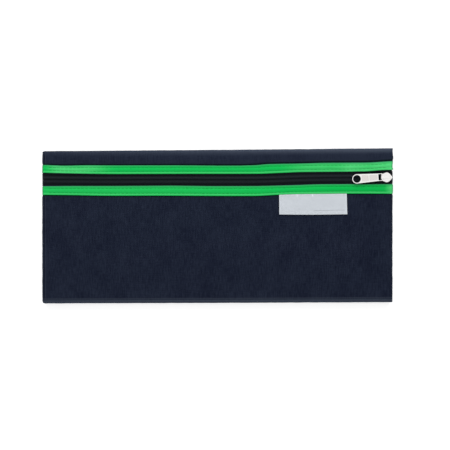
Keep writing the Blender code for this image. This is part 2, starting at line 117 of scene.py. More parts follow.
class PanelSizes(bpy.types.PropertyGroup):
    """The sewn cloth panels."""

    thickness: length("Cloth thickness", "Thickness of the cloth", 0.0007)
    grid: length("Cell", "Cell size of the cloth's mesh", 0.0019)
    top_roll: length("Top roll", "How far in the front starts to fall to the top seam", 0.0098)
    bottom_roll: length("Bottom roll", "The same at the bottom seam", 0.0092)
    back_roll: length("Back roll", "How far in the back starts to rise to them", 0.0052)
    side_roll: length("Side roll", "How far in both turn to the side seams", 0.0034)
    fullness: length("Fullness", "How far the sewn bag reaches beyond the model", 0.00014)
    top_fullness: length("Top fullness", "How much further it does so at the top", 0.00014)
    corner: length("Corner", "Radius of the corners at the open end", 0.0030)
    closed_corner: length("Closed corner", "Radius of those at the closed end", 0.0012)
    taper: share("Taper", "How much wider the closed end is than the middle", 0.0057)
    lean: share("Lean", "Slant of the side seams", 0.0046)
    pinch: length("Pinch", "How far the ribbons draw the side seams in", 0.0010)
    rise: length("Rise", "How far up the closed end lies", 0.0002)
    tuck: length("Seam tuck", "How far inside the edge the seam line lies", 0.0007)
    overlock: length("Overlock", "Thickness of the overlocked edge inside the seams", 0.0015)
    overlock_inset: length("Overlock inset", "How far inside the edge its middle lies", 0.0009)
    crown: length("Crown", "Swell of the front below the zip", 0.0014)
    swell: length("Swell", "Height of the slow waves in the front", 0.00040)
    swell_span: length("Swell span", "Span of the slow waves", 0.046)
    pucker: length("Pucker", "Height of the puckers along the seams", 0.00026)
    pucker_span: length("Pucker span", "Span of one pucker", 0.0085)
    pucker_reach: length("Pucker reach", "How far in the puckers run", 0.0080)
    ridge: length("Allowance ridge", "Height of the ridge over the turned-in edge", 0.00016)
    ridge_inset: length("Ridge inset", "How far in from the seam it lies", 0.0058)


class ZipSizes(bpy.types.PropertyGroup):
    """The zip's tapes and coils."""

    tape_thickness: length("Tape thickness", "Thickness of the tape", 0.00045)
    coil_rise: length("Rise over the coil", "How far the tape rises over its coil", 0.00022)
    hollow: length("Hollow", "How far it dips beside the coil", 0.00055)
    groove: length("Groove", "Depth of the parting between the tapes", 0.00060)
    end_roll: length("End roll", "Radius of the tapes' turn into the side seams", 0.0029)
    end_inset: length("End inset", "How far inside the side seams they stay", 0.0010)
    end_swell: length("End swell", "How much further out they reach between the ribbons", 0.0009)
    wire: length("Coil wire", "Diameter of the coil's wire", 0.00054)
    pitch: length("Pitch", "From one turn of the coil to the next", 0.00127)


class TrimSizes(bpy.types.PropertyGroup):
    """The ribbons and their stitches."""

    thickness: length("Ribbon thickness", "Thickness of the folded ribbon", 0.0005)
    crown: length("Ribbon crown", "Swell between the two rows of stitches", 0.00018)
    dimple: length("Stitch dimple", "How far the stitches pull it down", 0.00022)
    inset: length("Stitch inset", "From the ribbon's edge to each row", 0.0023)
    stitch_pitch: length("Stitch pitch", "From stitch to stitch", 0.0040)
    stitch: length("Stitch", "Length of a stitch", 0.0029)
    thread: length("Thread", "Diameter of the thread", 0.00034)
    end_share: share("End share", "Share of the ribbon's height left at the side seams", 0.60)


class LabelSizes(bpy.types.PropertyGroup):
    """The cloth label."""

    thickness: length("Label thickness", "Thickness of the folded label", 0.00036)
    tuck: length("Tuck", "How far it runs under the ribbon", 0.0016)
    hem: length("Hem", "Width of the hems down its sides", 0.0014)
    wave: length("Wave", "Height of its soft waves", 0.00016)
    line_y: length("Writing line", "Height of the line above its lower edge", 0.0041)
    line: length("Line width", "Half the width of that line", 0.00022)
    trim: length("Side trim", "How far inside the model's label its right side stays", 0.00135)
    rise: length("Rise", "How far above the model's its lower edge stays", 0.0002)


class PullSizes(bpy.types.PropertyGroup):
    """The slider's pull."""

    reach: length("Reach", "From the crossbar to the middle of the ring", 0.02515)
    slide: length("Slide", "How far it has slid along its crossbar", 0.0003)
    ring: length("Ring", "Outer radius of the ring", 0.0047)
    hole: length("Hole", "Radius of its hole", 0.00378)
    bar: length("Bar", "Half the bar's width at its narrow end", 0.0038)
    bar_end: length("Bar end", "From the crossbar to that end", 0.0042)
    eye: length("Eye", "Half the width of the eye that holds the crossbar", 0.0037)
    eye_corner: length("Eye corner", "Radius of the eye's corners", 0.0009)
    crossbar: length("Crossbar", "Width of the crossbar", 0.0012)
    window: length("Window", "Length of the window before it", 0.0030)
    window_half: length("Window width", "Half the window's width", 0.0030)
    window_corner: length("Window corner", "Radius of its corners", 0.0006)
    rounding: length("Edge rounding", "Radius of the edges", 0.00030)
    border: length("Border", "Width of the border beside the sunk panels", 0.0014)
    margin: length("Margin", "From the sunk panels to the window and the hole", 0.0009)
    depth: length("Panel depth", "Depth of the sunk panels", 0.00022)
    rib: length("Rib", "Width of the rib between them", 0.0005)


class Colours(bpy.types.PropertyGroup):
    """Colours of the finishes."""

    navy: colour("Navy", "Woven cloth", (0.0084, 0.0112, 0.0240))
    navy_slub: colour("Navy slub", "Its lighter yarns", (0.0190, 0.0250, 0.0440))
    # Painted sheen: the pale cloth along the top and bottom edges, the painted highlights on the ridges near
    # the bottom seam and the pale line by the left side seam
    navy_sheen: colour("Navy sheen", "Cloth along the top and bottom edges", (0.0480, 0.0590, 0.0850))
    navy_shade: colour("Shaded navy", "Cloth beside the ribbons", (0.0006, 0.0090, 0.0060))
    green: colour("Green", "Ribbon", (0.0035, 0.4500, 0.0700))
    green_bright: colour("Bright green", "Its upper yarns", (0.0150, 0.5900, 0.1150))
    # Painted highlight on the ribbon's lower edge, and painted reflection where it is paler along its length
    # and near its ends
    green_glint: colour("Pale green", "Its raised edge, and where it is worn", (0.0850, 0.6500, 0.1950))
    # Painted shade along the ribbon's upper edge and at its very ends
    green_shaded: colour("Shaded green", "Painted shade on its upper edge and ends", (0.0380, 0.3000, 0.1120))
    thread: colour("Thread", "Thread of the stitches", (0.0060, 0.2700, 0.0540))
    tape: colour("Tape", "Zip tape", (0.0101, 0.0132, 0.0163))
    # Painted light on the tape: highlights over the coil and a lighter upper half, mixed with its yarn's tone
    tape_light_and_yarn: colour("Lit tape", "Tape over the coil", (0.0206, 0.0252, 0.0302))
    coil: colour("Coil", "Moulded coil", (0.0100, 0.0110, 0.0130))
    coil_worn: colour("Worn coil", "Where the slider rubs it", (0.030, 0.031, 0.034))
    label: colour("Label", "Satin of the label", (0.6330, 0.6730, 0.7230))
    label_line: colour("Writing line", "Line on the label", (0.3300, 0.3550, 0.3900))
    nickel: colour("Nickel", "Plated metal", (0.9300, 0.9100, 0.8950))
    # Painted shade on the pull below its top face: sunk panels, rounded edges and underside
    nickel_shaded: colour("Shaded nickel", "Metal in the sunk panels", (0.7400, 0.7000, 0.6750))
    # Painted shadow under the pull's crossbar, on the slider and the tail of its cap
    nickel_shadow: colour("Dark nickel", "Metal under the crossbar", (0.0120, 0.0110, 0.0100))
    floor: colour("Floor", "Pale floor", (0.93, 0.93, 0.93))


class StageSizes(bpy.types.PropertyGroup):
    """The camera, the floor and the light."""

    lens: FloatProperty(name="Lens", description="Focal length", default=85.0, unit="CAMERA")
    field: length("Field", "Width of the picture at the level of the seams", 0.450)
    centre_x: length("Centre X", "Middle of the picture along the bag", 0.0076)
    centre_y: length("Centre Y", "Middle of the picture across the bag", 0.0014)
    roll: FloatProperty(
        name="Roll", description="Turn of the bag in it", default=math.radians(0.31), subtype="ANGLE"
    )
    floor_size: length("Floor size", "Side of the square floor", 1.7)
    glow: share("Floor glow", "Strength of the floor's own white", 0.45)
    ambient: share("Ambient", "Strength of the light from all round", 0.35)
    lamp_away: length("Lamp distance", "How far beyond the bag each lamp stands", 1.05)
    lamp_high: length("Lamp height", "How high it hangs", 0.50)
    lamp_long: length("Lamp length", "Its length", 1.8)
    lamp_wide: length("Lamp width", "Its width", 0.70)
    top_lamp: share("Top lamp", "Power of the lamp beyond the top edge", 19.0)
    bottom_lamp: share("Bottom lamp", "Power of the one beyond the bottom edge", 10.0)


class BagLook(bpy.types.PropertyGroup):
    """Everything that can be set."""

    panels: PointerProperty(type=PanelSizes)
    zip: PointerProperty(type=ZipSizes)
    trim: PointerProperty(type=TrimSizes)
    label: PointerProperty(type=LabelSizes)
    pull: PointerProperty(type=PullSizes)
    colours: PointerProperty(type=Colours)
    stage: PointerProperty(type=StageSizes)
    seed: IntProperty(name="Seed", description="Which waves and puckers the cloth has", default=7)


# Shader maths

class Signal:
    """An output of a shader node. Python's operators on it add Math nodes."""

    def __init__(self, nodes, socket):
        self.nodes = nodes
        self.socket = socket

    def beside(self, output):
        """Another output of the same node."""
        return Signal(self.nodes, self.socket.node.outputs[output])

    def math(self, operation, *values):
        """A Math node on these values."""
        return self.nodes.add("ShaderNodeMath", {"operation": operation}, dict(enumerate(values)))

    def __add__(self, other):
        return self.math("ADD", self, other)

    def __sub__(self, other):
        return self.math("SUBTRACT", self, other)

    def __rsub__(self, other):
        return self.math("SUBTRACT", other, self)

    def __mul__(self, other):
        return self.math("MULTIPLY", self, other)

    def __truediv__(self, other):
        return self.math("DIVIDE", self, other)

    __radd__ = __add__
    __rmul__ = __mul__

    def sine(self):
        """The sine of this value."""
        return self.math("SINE", self)

    def arcsine(self):
        """The angle that has this sine."""
        return self.math("ARCSINE", self)

    def size(self):
        """This value without its sign."""
        return self.math("ABSOLUTE", self)

    def most(self, other):
        """The greater of this value and another."""
        return self.math("MAXIMUM", self, other)

    def below(self, limit):
        """1 where this value is below the limit, else 0."""
        return self.math("LESS_THAN", self, limit)

    def above(self, limit):
        """1 where this value is above the limit, else 0."""
        return self.math("GREATER_THAN", self, limit)


class Finish:
    """Writes the nodes of one material, or of the world."""

    def __init__(self, owner, shader="Principled BSDF"):
        owner.use_nodes = True
        self.owner = owner
        self.tree = owner.node_tree
        self.shader = self.tree.nodes[shader]

    def add(self, kind, settings=None, inputs=None, output=0):
        """A node of any kind: its settings first, then the values or links of its sockets."""
        node = self.tree.nodes.new(kind)
        for name, value in (settings or {}).items():
            setattr(node, name, value)
        for key, value in (inputs or {}).items():
            self.feed(node.inputs[key], value)
        return Signal(self, node.outputs[output])

    def feed(self, socket, value):
        """Link a signal to a socket, or set its value."""
        if isinstance(value, Signal):
            self.tree.links.new(value.socket, socket)
        elif isinstance(value, (int, float)):
            socket.default_value = value
        else:
            socket.default_value = (*value, 1.0)[: len(socket.default_value)]

    def set(self, inputs):
        """Set or link sockets of the shader."""
        for name, value in inputs.items():
            self.feed(self.shader.inputs[name], value)

    def parts(self, vector):
        """The three numbers of a vector."""
        first = self.add("ShaderNodeSeparateXYZ", inputs={0: vector})
        return first, first.beside(1), first.beside(2)

    def place(self):
        """The flat place on the cloth, as its two lengths, and the third value that each piece gives it."""
        return self.parts(self.add("ShaderNodeAttribute", {"attribute_name": CLOTH_PLACE}, output=1))

    def grain(self, x, y, size, detail=2.0):
        """Noise from 0 to 1, whose blotches have this size along and across the bag."""
        at = self.add("ShaderNodeCombineXYZ", inputs={0: x / size[0], 1: y / size[1]})
        return self.noise(at, 1.0, detail)

    def noise(self, at, scale, detail, distortion=0.0):
        """Noise from 0 to 1."""
        inputs = {"Vector": at, "Scale": scale, "Detail": detail, "Distortion": distortion}
        return self.add("ShaderNodeTexNoise", inputs=inputs)

    def mix(self, amount, low, high):
        """A colour between two others."""
        return self.add("ShaderNodeMix", {"data_type": "RGBA"}, {0: amount, 6: low, 7: high}, output=2)

    def ease(self, value, low, high):
        """0 at low, 1 at high, smooth between."""
        inputs = {"Value": value, "From Min": low, "From Max": high}
        return self.add("ShaderNodeMapRange", {"interpolation_type": "SMOOTHSTEP"}, inputs)

    def ridge(self, value, middle, reach):
        """1 at the middle, smoothly down to 0 at its reach on both sides."""
        return self.ease((value - middle).size(), reach, 0.0)

    def bump(self, height, depth):
        """A normal from a height that is depth metres at 1."""
        return self.add("ShaderNodeBump", inputs={"Height": height, "Distance": depth, "Strength": 1.0})


# Sizes in the finishes: yarns and ribs are widths, grains are lengths along and across the bag,
# bands go from where they are nothing to where they are full, and lines have a middle and a reach.
NAVY_YARN = 0.00052
NAVY_SLUB = (0.0010, 0.0080)
NAVY_CROSS_SLUB = (0.0070, 0.0010)
NAVY_MOTTLE = (0.020, 0.028)
NAVY_RELIEF = 0.00012
# Painted sheen along the long edges, painted highlights on the two ridges over the turned-in edge, and a
# painted highlight and painted shade in two lines along the left side seam
EDGE_SHEEN_BAND = (0.0068, 0.0)
SHEEN_FREE_EDGE = (0.00002, 0.0007)
ALLOWANCE_LINES = ((0.0027, 0.0007), (0.0048, 0.0008))
OPEN_END_PALE = (-0.1711, 0.0007)
OPEN_END_DARK = (-0.1722, 0.0008)
BELOW_RIBBON = (LOWER_LOW.y - 0.0004, 0.0015)
ABOVE_RIBBON = (UPPER_HIGH.y + 0.0006, 0.0016)

RIBBON_RIB = 0.00060
RIBBON_YARN = (0.030, 0.00035)
RIBBON_PATCH = (0.018, 0.0035)
RIBBON_RELIEF = 0.00006
LESS_BRIGHT = (0.080, 0.120)
# Where the ribbons carry painted reflection, paler along stretches and near the ends
REFLECTION_LEFT = (-0.098, -0.136)
REFLECTION_FREE_LEFT_END = (-0.1725, -0.1600)
REFLECTION_RIGHT = (0.060, 0.095)
REFLECTION_FAR_RIGHT = (0.118, 0.132)
REFLECTION_LOWER_LEFT = (0.090, -0.100)
REFLECTION_LOWER_END = (0.1645, 0.1715)
REFLECTION_END = (0.1700, 0.1728)
# Where the ribbons' very ends carry painted shade
SHADED_END = (0.1725, 0.1737)

THREAD_TWIST = 0.00030
THREAD_RELIEF = 0.00003
TAPE_RIB = 0.0011
TAPE_TWILL = 0.00062
TAPE_FUZZ = (0.0009, 0.0009)
TAPE_RELIEF = 0.00008
# Painted highlights over the coil, painted light on the upper half and painted shade in the parting
TAPE_COIL_HIGHLIGHT = (0.0022, 0.0013)
TAPE_UPPER_LIGHT = (-0.0045, 0.0035)
TAPE_PARTING_SHADE = (0.0002, 0.0012)
COIL_WEAR = (0.004, 0.0005)
COIL_RELIEF = 0.00002

LABEL_RIB = 0.00035
LABEL_YARN = (0.012, 0.0004)
LABEL_CLOUD = (0.016, 0.010)
LABEL_RELIEF = 0.00004
LABEL_SHADE = 0.0045
LINE_START = 0.0340
LINE_MARGIN = 0.0022
# The label's puckers by the ribbon: place, reach, reach of the painted highlight on it, and strength
PUCKERS = ((0.0948, 0.0014, 0.0013, 1.0), (0.0795, 0.0016, 0.0015, 0.7))
PUCKER_GLINT = (LABEL_HIGH.y - 0.0010, 0.0022)

SCRATCH_SCALE = 2600.0
CLOUD_SCALE = 420.0
NICKEL_RELIEF = 0.00001
# Painted shade below the pull's top face, and a painted shadow under the crossbar on the slider and its cap
SHADE_BELOW_EDGE = 0.0001
DARK_EDGE = 0.0002
DARK_WIDTH = (0.0036, 0.0032)
DARK_LEVEL = (0.0070, 0.0075)
CAP_SHADOW = CROSSBAR.x - 0.0011
BODY_SHADOW = CROSSBAR.x + 0.0006
PULL_SHADE_LEVEL = PULL_HIGH.z - 0.00005


def scaled(shade, by):
    """A colour made darker or lighter."""
    return [by * part for part in shade]


def navy_finish(finish, look):
    """Plain-woven cloth with slubs across the bag and a slow mottle, with painted sheen along its two long
    edges, painted highlights and shade by its seams, painted light on the strip above the zip, and shade
    beside the ribbons.
    """
    colours = look.colours
    x, y, from_seam = finish.place()
    weave = (x * (TURN / NAVY_YARN)).sine() * (y * (TURN / NAVY_YARN)).sine()
    slub = finish.grain(x, y, NAVY_SLUB, 3.0)
    cross_slub = finish.grain(x, y, NAVY_CROSS_SLUB)
    mottle = finish.grain(x, y, NAVY_MOTTLE)
    above_zip = y.above(ZIP_Y)
    # Painted light: the strip above the zip is lighter, more so to the right. Below the zip the cloth grows a
    # little darker to the right.
    strip = above_zip * (0.37 + x * 1.3) - 0.25 * x
    light = finish.ease(0.48 * slub + 0.24 * cross_slub + 0.28 * mottle + 0.05 * weave, 0.34, 0.68) + strip
    # Painted sheen: paler cloth along the top and bottom edges, none at the seam itself, stronger along the
    # top edge to the right and over the lighter yarns
    edge_sheen = finish.ease(from_seam, *EDGE_SHEEN_BAND) * finish.ease(from_seam, *SHEEN_FREE_EDGE)
    edge_sheen = edge_sheen * (0.76 + above_zip * (0.09 + x * 3.4))
    # Painted highlights on the two ridges over the turned-in edge near the bottom seam
    near_line, far_line = (finish.ridge(from_seam, *line) for line in ALLOWANCE_LINES)
    lines = (0.44 * near_line + 0.36 * far_line) * y.below(0.0)
    cloth = finish.mix(light, colours.navy, colours.navy_slub)
    # A painted highlight and, nearer the edge, painted shade in two lines along the left side seam
    cloth = finish.mix(0.35 * finish.ridge(x, *OPEN_END_PALE), cloth, colours.navy_sheen)
    cloth = finish.mix(0.40 * finish.ridge(x, *OPEN_END_DARK), cloth, (0, 0, 0))
    beside = finish.ridge(y, *BELOW_RIBBON) + 0.9 * finish.ridge(y, *ABOVE_RIBBON)
    cloth = finish.mix(0.95 * beside, cloth, colours.navy_shade)
    finish.set({
        "Base Color": finish.mix((edge_sheen + lines) * (0.70 + 0.60 * slub), cloth, colours.navy_sheen),
        "Roughness": 0.92 - 0.14 * slub,
        "Normal": finish.bump(0.5 * weave + 0.9 * slub + 0.5 * cross_slub, NAVY_RELIEF),
        "Specular IOR Level": 0.02,
        "Sheen Weight": 0.16,
        "Sheen Roughness": 0.25,
        "Sheen Tint": (0.62, 0.68, 0.84),
    })


def ribbon_finish(finish, look):
    """Fine ribbed ribbon: a painted highlight on its raised lower edge, a saturated middle, painted shade
    along its folded upper edge and at its ends, and painted reflection, paler along stretches and near its
    ends.
    """
    colours = look.colours
    x, y, across = finish.place()
    rib = (x * (TURN / RIBBON_RIB)).sine()
    yarn = finish.grain(x, y, RIBBON_YARN)
    patch = finish.grain(x, y, RIBBON_PATCH)
    lower = y.below(ZIP_Y)
    uneven = 0.50 + 0.60 * yarn + 0.40 * patch
    bright = (0.31 + 0.08 * finish.ridge(across, 0.66, 0.30)) * uneven + 0.03 * rib
    bright = bright - 0.22 * finish.ease(x, *LESS_BRIGHT) * lower
    # Painted highlight along each ribbon's lower edge
    edge_glint = finish.ridge(across, 0.13, 0.14) * uneven * 0.62
    # Painted reflection: paler stretches of the upper ribbon, the lower ribbon paler to the left and near its
    # right end, and both near the right end
    left = finish.ease(x, *REFLECTION_LEFT) * finish.ease(x, *REFLECTION_FREE_LEFT_END)
    right = 0.72 * finish.ease(x, *REFLECTION_RIGHT) + 0.40 * finish.ease(x, *REFLECTION_FAR_RIGHT)
    painted_light_and_yarn = (left + right) * y.above(ZIP_Y) * (0.30 + 0.85 * patch)
    painted_light_and_yarn = painted_light_and_yarn + (0.11 * finish.ease(x, *REFLECTION_LOWER_LEFT) + 0.55 * finish.ease(x, *REFLECTION_LOWER_END)) * lower
    painted_light_and_yarn = painted_light_and_yarn + 0.35 * finish.ease(x, *REFLECTION_END)
    shade = finish.mix(bright, colours.green, colours.green_bright)
    shade = finish.mix(edge_glint.most(painted_light_and_yarn), shade, colours.green_glint)
    # Painted shade along each ribbon's upper edge and at its very ends
    painted_shade = (0.85 * finish.ease(across, 0.82, 0.96)).most(0.7 * finish.ease(x.size(), *SHADED_END))
    finish.set({
        "Base Color": finish.mix(painted_shade, shade, colours.green_shaded),
        "Roughness": 0.50 + 0.12 * yarn,
        "Normal": finish.bump(0.5 * rib + 0.7 * yarn, RIBBON_RELIEF),
        "Specular IOR Level": 0.04,
        "Sheen Weight": 0.12,
        "Sheen Roughness": 0.25,
        "Sheen Tint": (0.70, 1.0, 0.80),
    })


def thread_finish(finish, look):
    """Twisted sewing thread."""
    x, y = finish.place()[:2]
    twist = ((x + y) * (TURN / THREAD_TWIST)).sine()
    finish.set({
        "Base Color": finish.mix(0.5 + 0.5 * twist, look.colours.thread, look.colours.green),
        "Roughness": 0.55,
        "Normal": finish.bump(twist, THREAD_RELIEF),
        "Specular IOR Level": 0.1,
        "Sheen Weight": 0.1,
    })


def tape_finish(finish, look):
    """Herringbone tape: its twill turns at every rib, with painted highlights over the coil, painted light on
    its upper half and painted shade in the parting.
    """
    x, y = finish.place()[:2]
    rib = (y * (math.pi / TAPE_RIB)).sine()
    twill = (x * (TURN / TAPE_TWILL) + rib.arcsine() * 2.2).sine()
    fuzz = finish.grain(x, y, TAPE_FUZZ, 3.0)
    # Painted highlights over the coil and a lighter upper half, less in the painted shade of the parting;
    # twill and fuzz add the yarn's tone
    painted_light_and_yarn = 0.45 * finish.ridge(y.size(), *TAPE_COIL_HIGHLIGHT) + 0.34 * finish.ease(y, *TAPE_UPPER_LIGHT)
    painted_light_and_yarn = painted_light_and_yarn * finish.ease(y.size(), *TAPE_PARTING_SHADE) + 0.12 * twill + 0.20 * fuzz - 0.10
    finish.set({
        "Base Color": finish.mix(finish.ease(painted_light_and_yarn, 0.0, 1.0), look.colours.tape, look.colours.tape_light_and_yarn),
        "Roughness": 0.80 - 0.15 * fuzz,
        "Normal": finish.bump(twill + 0.4 * fuzz, TAPE_RELIEF),
        "Specular IOR Level": 0.05,
        "Sheen Weight": 0.08,
        "Sheen Roughness": 0.25,
        "Sheen Tint": (0.80, 0.86, 1.0),
    })


def coil_finish(finish, look):
    """Moulded coil, with light wear."""
    x, y = finish.place()[:2]
    wear = finish.grain(x, y, COIL_WEAR)
    finish.set({
        "Base Color": finish.mix(wear, look.colours.coil, look.colours.coil_worn),
        "Roughness": 0.36 + 0.16 * wear,
        "Normal": finish.bump(wear, COIL_RELIEF),
        "Specular IOR Level": 0.45,
    })


def label_finish(finish, look):
    """Satin label with fine cross ribs, paler hems, painted shade under the ribbon, painted highlights on its
    puckers and a writing line.
    """
    label = look.label
    satin = look.colours.label
    x, y = finish.place()[:2]
    rib = (y * (TURN / LABEL_RIB)).sine()
    yarn = finish.grain(x, y, LABEL_YARN)
    right = LABEL_HIGH.x - label.trim
    shade = 0.35 * yarn + 0.65 * finish.grain(x, y, LABEL_CLOUD)
    shade = shade + 0.45 * finish.ease(y, LABEL_HIGH.y - LABEL_SHADE, LABEL_HIGH.y)
    cloth = finish.mix(shade, satin, scaled(satin, 0.86))
    hems = finish.ease(x, LABEL_LOW.x + label.hem, LABEL_LOW.x) + finish.ease(x, right - 2 * label.hem, right)
    cloth = finish.mix(0.7 * hems, cloth, scaled(satin, 1.04))
    # Painted highlights on the puckers by the ribbon
    pucker_glints = sum(strength * finish.ridge(x, at, reach) for at, _, reach, strength in PUCKERS)
    cloth = finish.mix(pucker_glints * finish.ridge(y, *PUCKER_GLINT), cloth, scaled(satin, 1.15))
    start = LABEL_LOW.x + LINE_START
    end = right - LINE_MARGIN
    on_line = (x - (start + end) / 2).size().below((end - start) / 2)
    on_line = (y - (LABEL_LOW.y + label.line_y)).size().below(label.line) * on_line
    finish.set({
        "Base Color": finish.mix(on_line * 0.85, cloth, look.colours.label_line),
        "Roughness": 0.48 + 0.14 * yarn,
        "Normal": finish.bump(0.4 * rib + yarn, LABEL_RELIEF),
        "Specular IOR Level": 0.15,
        "Sheen Weight": 0.05,
    })


def nickel_finish(finish, look, shade_below=None, shade_before=None):
    """Satin nickel plate with fine scratches, with painted shade below a level and a painted shadow, dark and
    not metallic, at the tail up to a place.
    """
    colours = look.colours
    at = finish.add("ShaderNodeTexCoord", output=3)
    x, y, z = finish.parts(at)
    scratch = finish.noise(at, SCRATCH_SCALE, 4.0, 1.5)
    cloud = finish.noise(at, CLOUD_SCALE, 2.0)
    metal = finish.mix(cloud, scaled(colours.nickel, 0.92), colours.nickel)
    metallic = 1.0
    # Painted shade: darker metal below the top face
    if shade_below:
        metal = finish.mix(finish.ease(z, shade_below, shade_below - SHADE_BELOW_EDGE), metal, colours.nickel_shaded)
    # Painted shadow: dark, unmetallic plate under the crossbar, where the slider's inside lies in shade
    if shade_before:
        near = finish.ease(x, shade_before + DARK_EDGE, shade_before - DARK_EDGE)
        near = near * finish.ease((y - CROSSBAR.y).size(), *DARK_WIDTH) * finish.ease(z, *DARK_LEVEL)
        metal = finish.mix(near, metal, colours.nickel_shadow)
        metallic = 1.0 - near
    finish.set({
        "Base Color": metal,
        "Metallic": metallic,
        "Roughness": 0.18 + 0.14 * cloud + 0.08 * scratch,
        "Normal": finish.bump(scratch, NICKEL_RELIEF),
    })


WRITERS = {
    "navy_cloth": navy_finish,
    "green_ribbon": ribbon_finish,
    "green_thread": thread_finish,
    "black_tape": tape_finish,
    "black_coil": coil_finish,
    "label_cloth": label_finish,
    "cap_nickel": lambda *given: nickel_finish(*given, shade_before=CAP_SHADOW),
    "body_nickel": lambda *given: nickel_finish(*given, shade_before=BODY_SHADOW),
    "pull_nickel": lambda *given: nickel_finish(*given, shade_below=PULL_SHADE_LEVEL),
}
FINISHES = {}


def finish_of(name):
    """One finish of the bag, written the first time it is asked for."""
    if name not in FINISHES:
        finish = Finish(bpy.data.materials.new(name))
        WRITERS[name](finish, bpy.context.scene.pencil_bag)
        FINISHES[name] = finish.owner
    return FINISHES[name]


# Curves and waves

def ramp(values, low, high):
    """0 at low, 1 at high, smooth between."""
    held = np.clip((values - low) / (high - low), 0.0, 1.0)
    return held * held * (3 - 2 * held)


def bell(values, middle, reach):
    """1 at the middle, falling to nearly 0 at twice its reach."""
    return np.exp(-np.square((values - middle) / reach))


def curve(*keys):
    """Points of a curve: their places and values, given in millimetres."""
    return np.array(keys, dtype=float).T / 1000


def through(keys, x):
    """A smooth curve through given points, read at x. It never passes beyond two neighbours."""
    places, values = keys
    steps = np.diff(values) / np.diff(places)
    before, after = steps[:-1], steps[1:]
    level = np.where(before * after > 0, 2 * before * after / (before + after + 1e-12), 0.0)
    slopes = np.concatenate([steps[:1], level, steps[-1:]])
    at = np.clip(x, places[0], places[-1])
    cell = np.clip(np.searchsorted(places, at, side="right") - 1, 0, len(places) - 2)
    span = places[cell + 1] - places[cell]
    t = (at - places[cell]) / span
    start = values[cell] * (1 + 2 * t) * (1 - t) ** 2 + slopes[cell] * span * t * (1 - t) ** 2
    return start + values[cell + 1] * t**2 * (3 - 2 * t) + slopes[cell + 1] * span * t**2 * (t - 1)


def wave(x, y, span, seed):
    """Smooth waves from -1 to 1 with the given span, the same each time for a seed."""
    read = np.vectorize(lambda a, b: noise.noise(Vector((a / span, b / span, seed))))
    return read(*np.broadcast_arrays(x, y)) * 1.6


# How far each edge of the two ribbons strays from its straight line along the bag
UPPER_OUTER = curve(
    (-171, -0.3), (-150, -1.1), (-132, -0.8), (-105, -1.1), (-40, -1.4), (18, -2.0), (36, -1.7), (52, -0.6),
    (85, -0.2), (108, 0.3), (145, 0.3), (174, 1.7),
)
UPPER_INNER = curve(
    (-171, 0.3), (-147, -0.4), (-100, -1.3), (-30, -1.5), (40, -1.8), (62, -1.1), (85, -0.3), (145, -0.1),
    (165, 1.2), (174, 1.4),
)
LOWER_INNER = curve(
    (-171, -1.0), (-147, -0.9), (-100, -1.1), (-50, -1.1), (0, -1.8), (35, -1.9), (75, -1.3), (105, -0.5),
    (150, -0.5), (174, -0.8),
)
LOWER_OUTER = curve(
    (-171, 0.2), (-145, -0.2), (-108, -1.0), (-55, -1.2), (0, -1.8), (36, -2.0), (60, -1.0), (80, -0.4),
    (130, -0.2), (174, -0.5),
)
RIBBON_EDGES = {1: (UPPER_INNER, UPPER_OUTER), -1: (LOWER_INNER, LOWER_OUTER)}
# How far the closed end's side seam strays from its straight line, up the bag
CLOSED_SIDE = curve(
    (-77, -0.1), (-45, -0.1), (0, 0), (26, 0.1), (31, 0.3), (35, 0.6), (42, 0.7), (46, 0.9), (50, 0.7),
    (53.5, 0.7), (57, 0), (60, 0.3), (64, 0.9), (66.5, 0.8), (69, 0.5), (78, 0.4),
)
# How much the upper ribbon leans, inner edge up, along the bag
UPPER_LEAN = curve((-175, 0.4), (-150, 0.6), (-115, 0.3), (-90, 0), (110, 0), (145, 0.4), (175, 0.5))

# The cloth's build, and its smaller waves
ROLL_STEPS = 10
GROOVE_SHARE = 0.09
HOLD_BELOW = 0.022
PINCH_FADE = 0.002
SEAM_WAVE = 0.0003
SEAM_WAVE_SPAN = 0.045
EDGE_WAVE = 0.00010
EDGE_WAVE_SPAN = 0.036
EDGE_WAVE_SEED = 2
FINE_PUCKER_SEED = 11
RIDGE_REACHES = (0.0008, 0.0007)
RIDGE_END = 0.008
PUCKER_FREE = 0.006
SWELL_FROM_ZIP = 0.020
SWELL_FROM_SEAM = 0.010


def stray(x, y):
    """How far the cloth at a place is drawn along with the ribbon beside it."""
    above = through(UPPER_OUTER, x) * ramp(y, HALF_WIDTH, UPPER_HIGH.y)
    below = through(LOWER_OUTER, x) * ramp(y, LOWER_LOW.y - HOLD_BELOW, LOWER_LOW.y)
    return np.where(y > ZIP_Y, above, below)


def zip_stray(x):
    """How far the middle of the zip strays from its straight line."""
    return (through(UPPER_INNER, x) + through(LOWER_INNER, x)) / 2


def closed_side(x, y):
    """How far the closed end's side seam draws a place with it."""
    return through(CLOSED_SIDE, y) * ramp(x, 0, HALF_LENGTH)


def round_corner(x, y, panels):
    """Draw the points of a square corner in to a round one, seen from above."""
    radius = np.where(x > 0, panels.closed_corner, panels.corner)
    over_x = np.clip(np.abs(x) - HALF_LENGTH + radius, 0, radius)
    over_y = np.clip(np.abs(y) - HALF_WIDTH + radius, 0, radius)
    draw_x = over_x * (1 - np.sqrt(1 - (over_y / radius) ** 2 / 2))
    draw_y = over_y * (1 - np.sqrt(1 - (over_x / radius) ** 2 / 2))
    return x - np.sign(x) * draw_x, y - np.sign(y) * draw_y


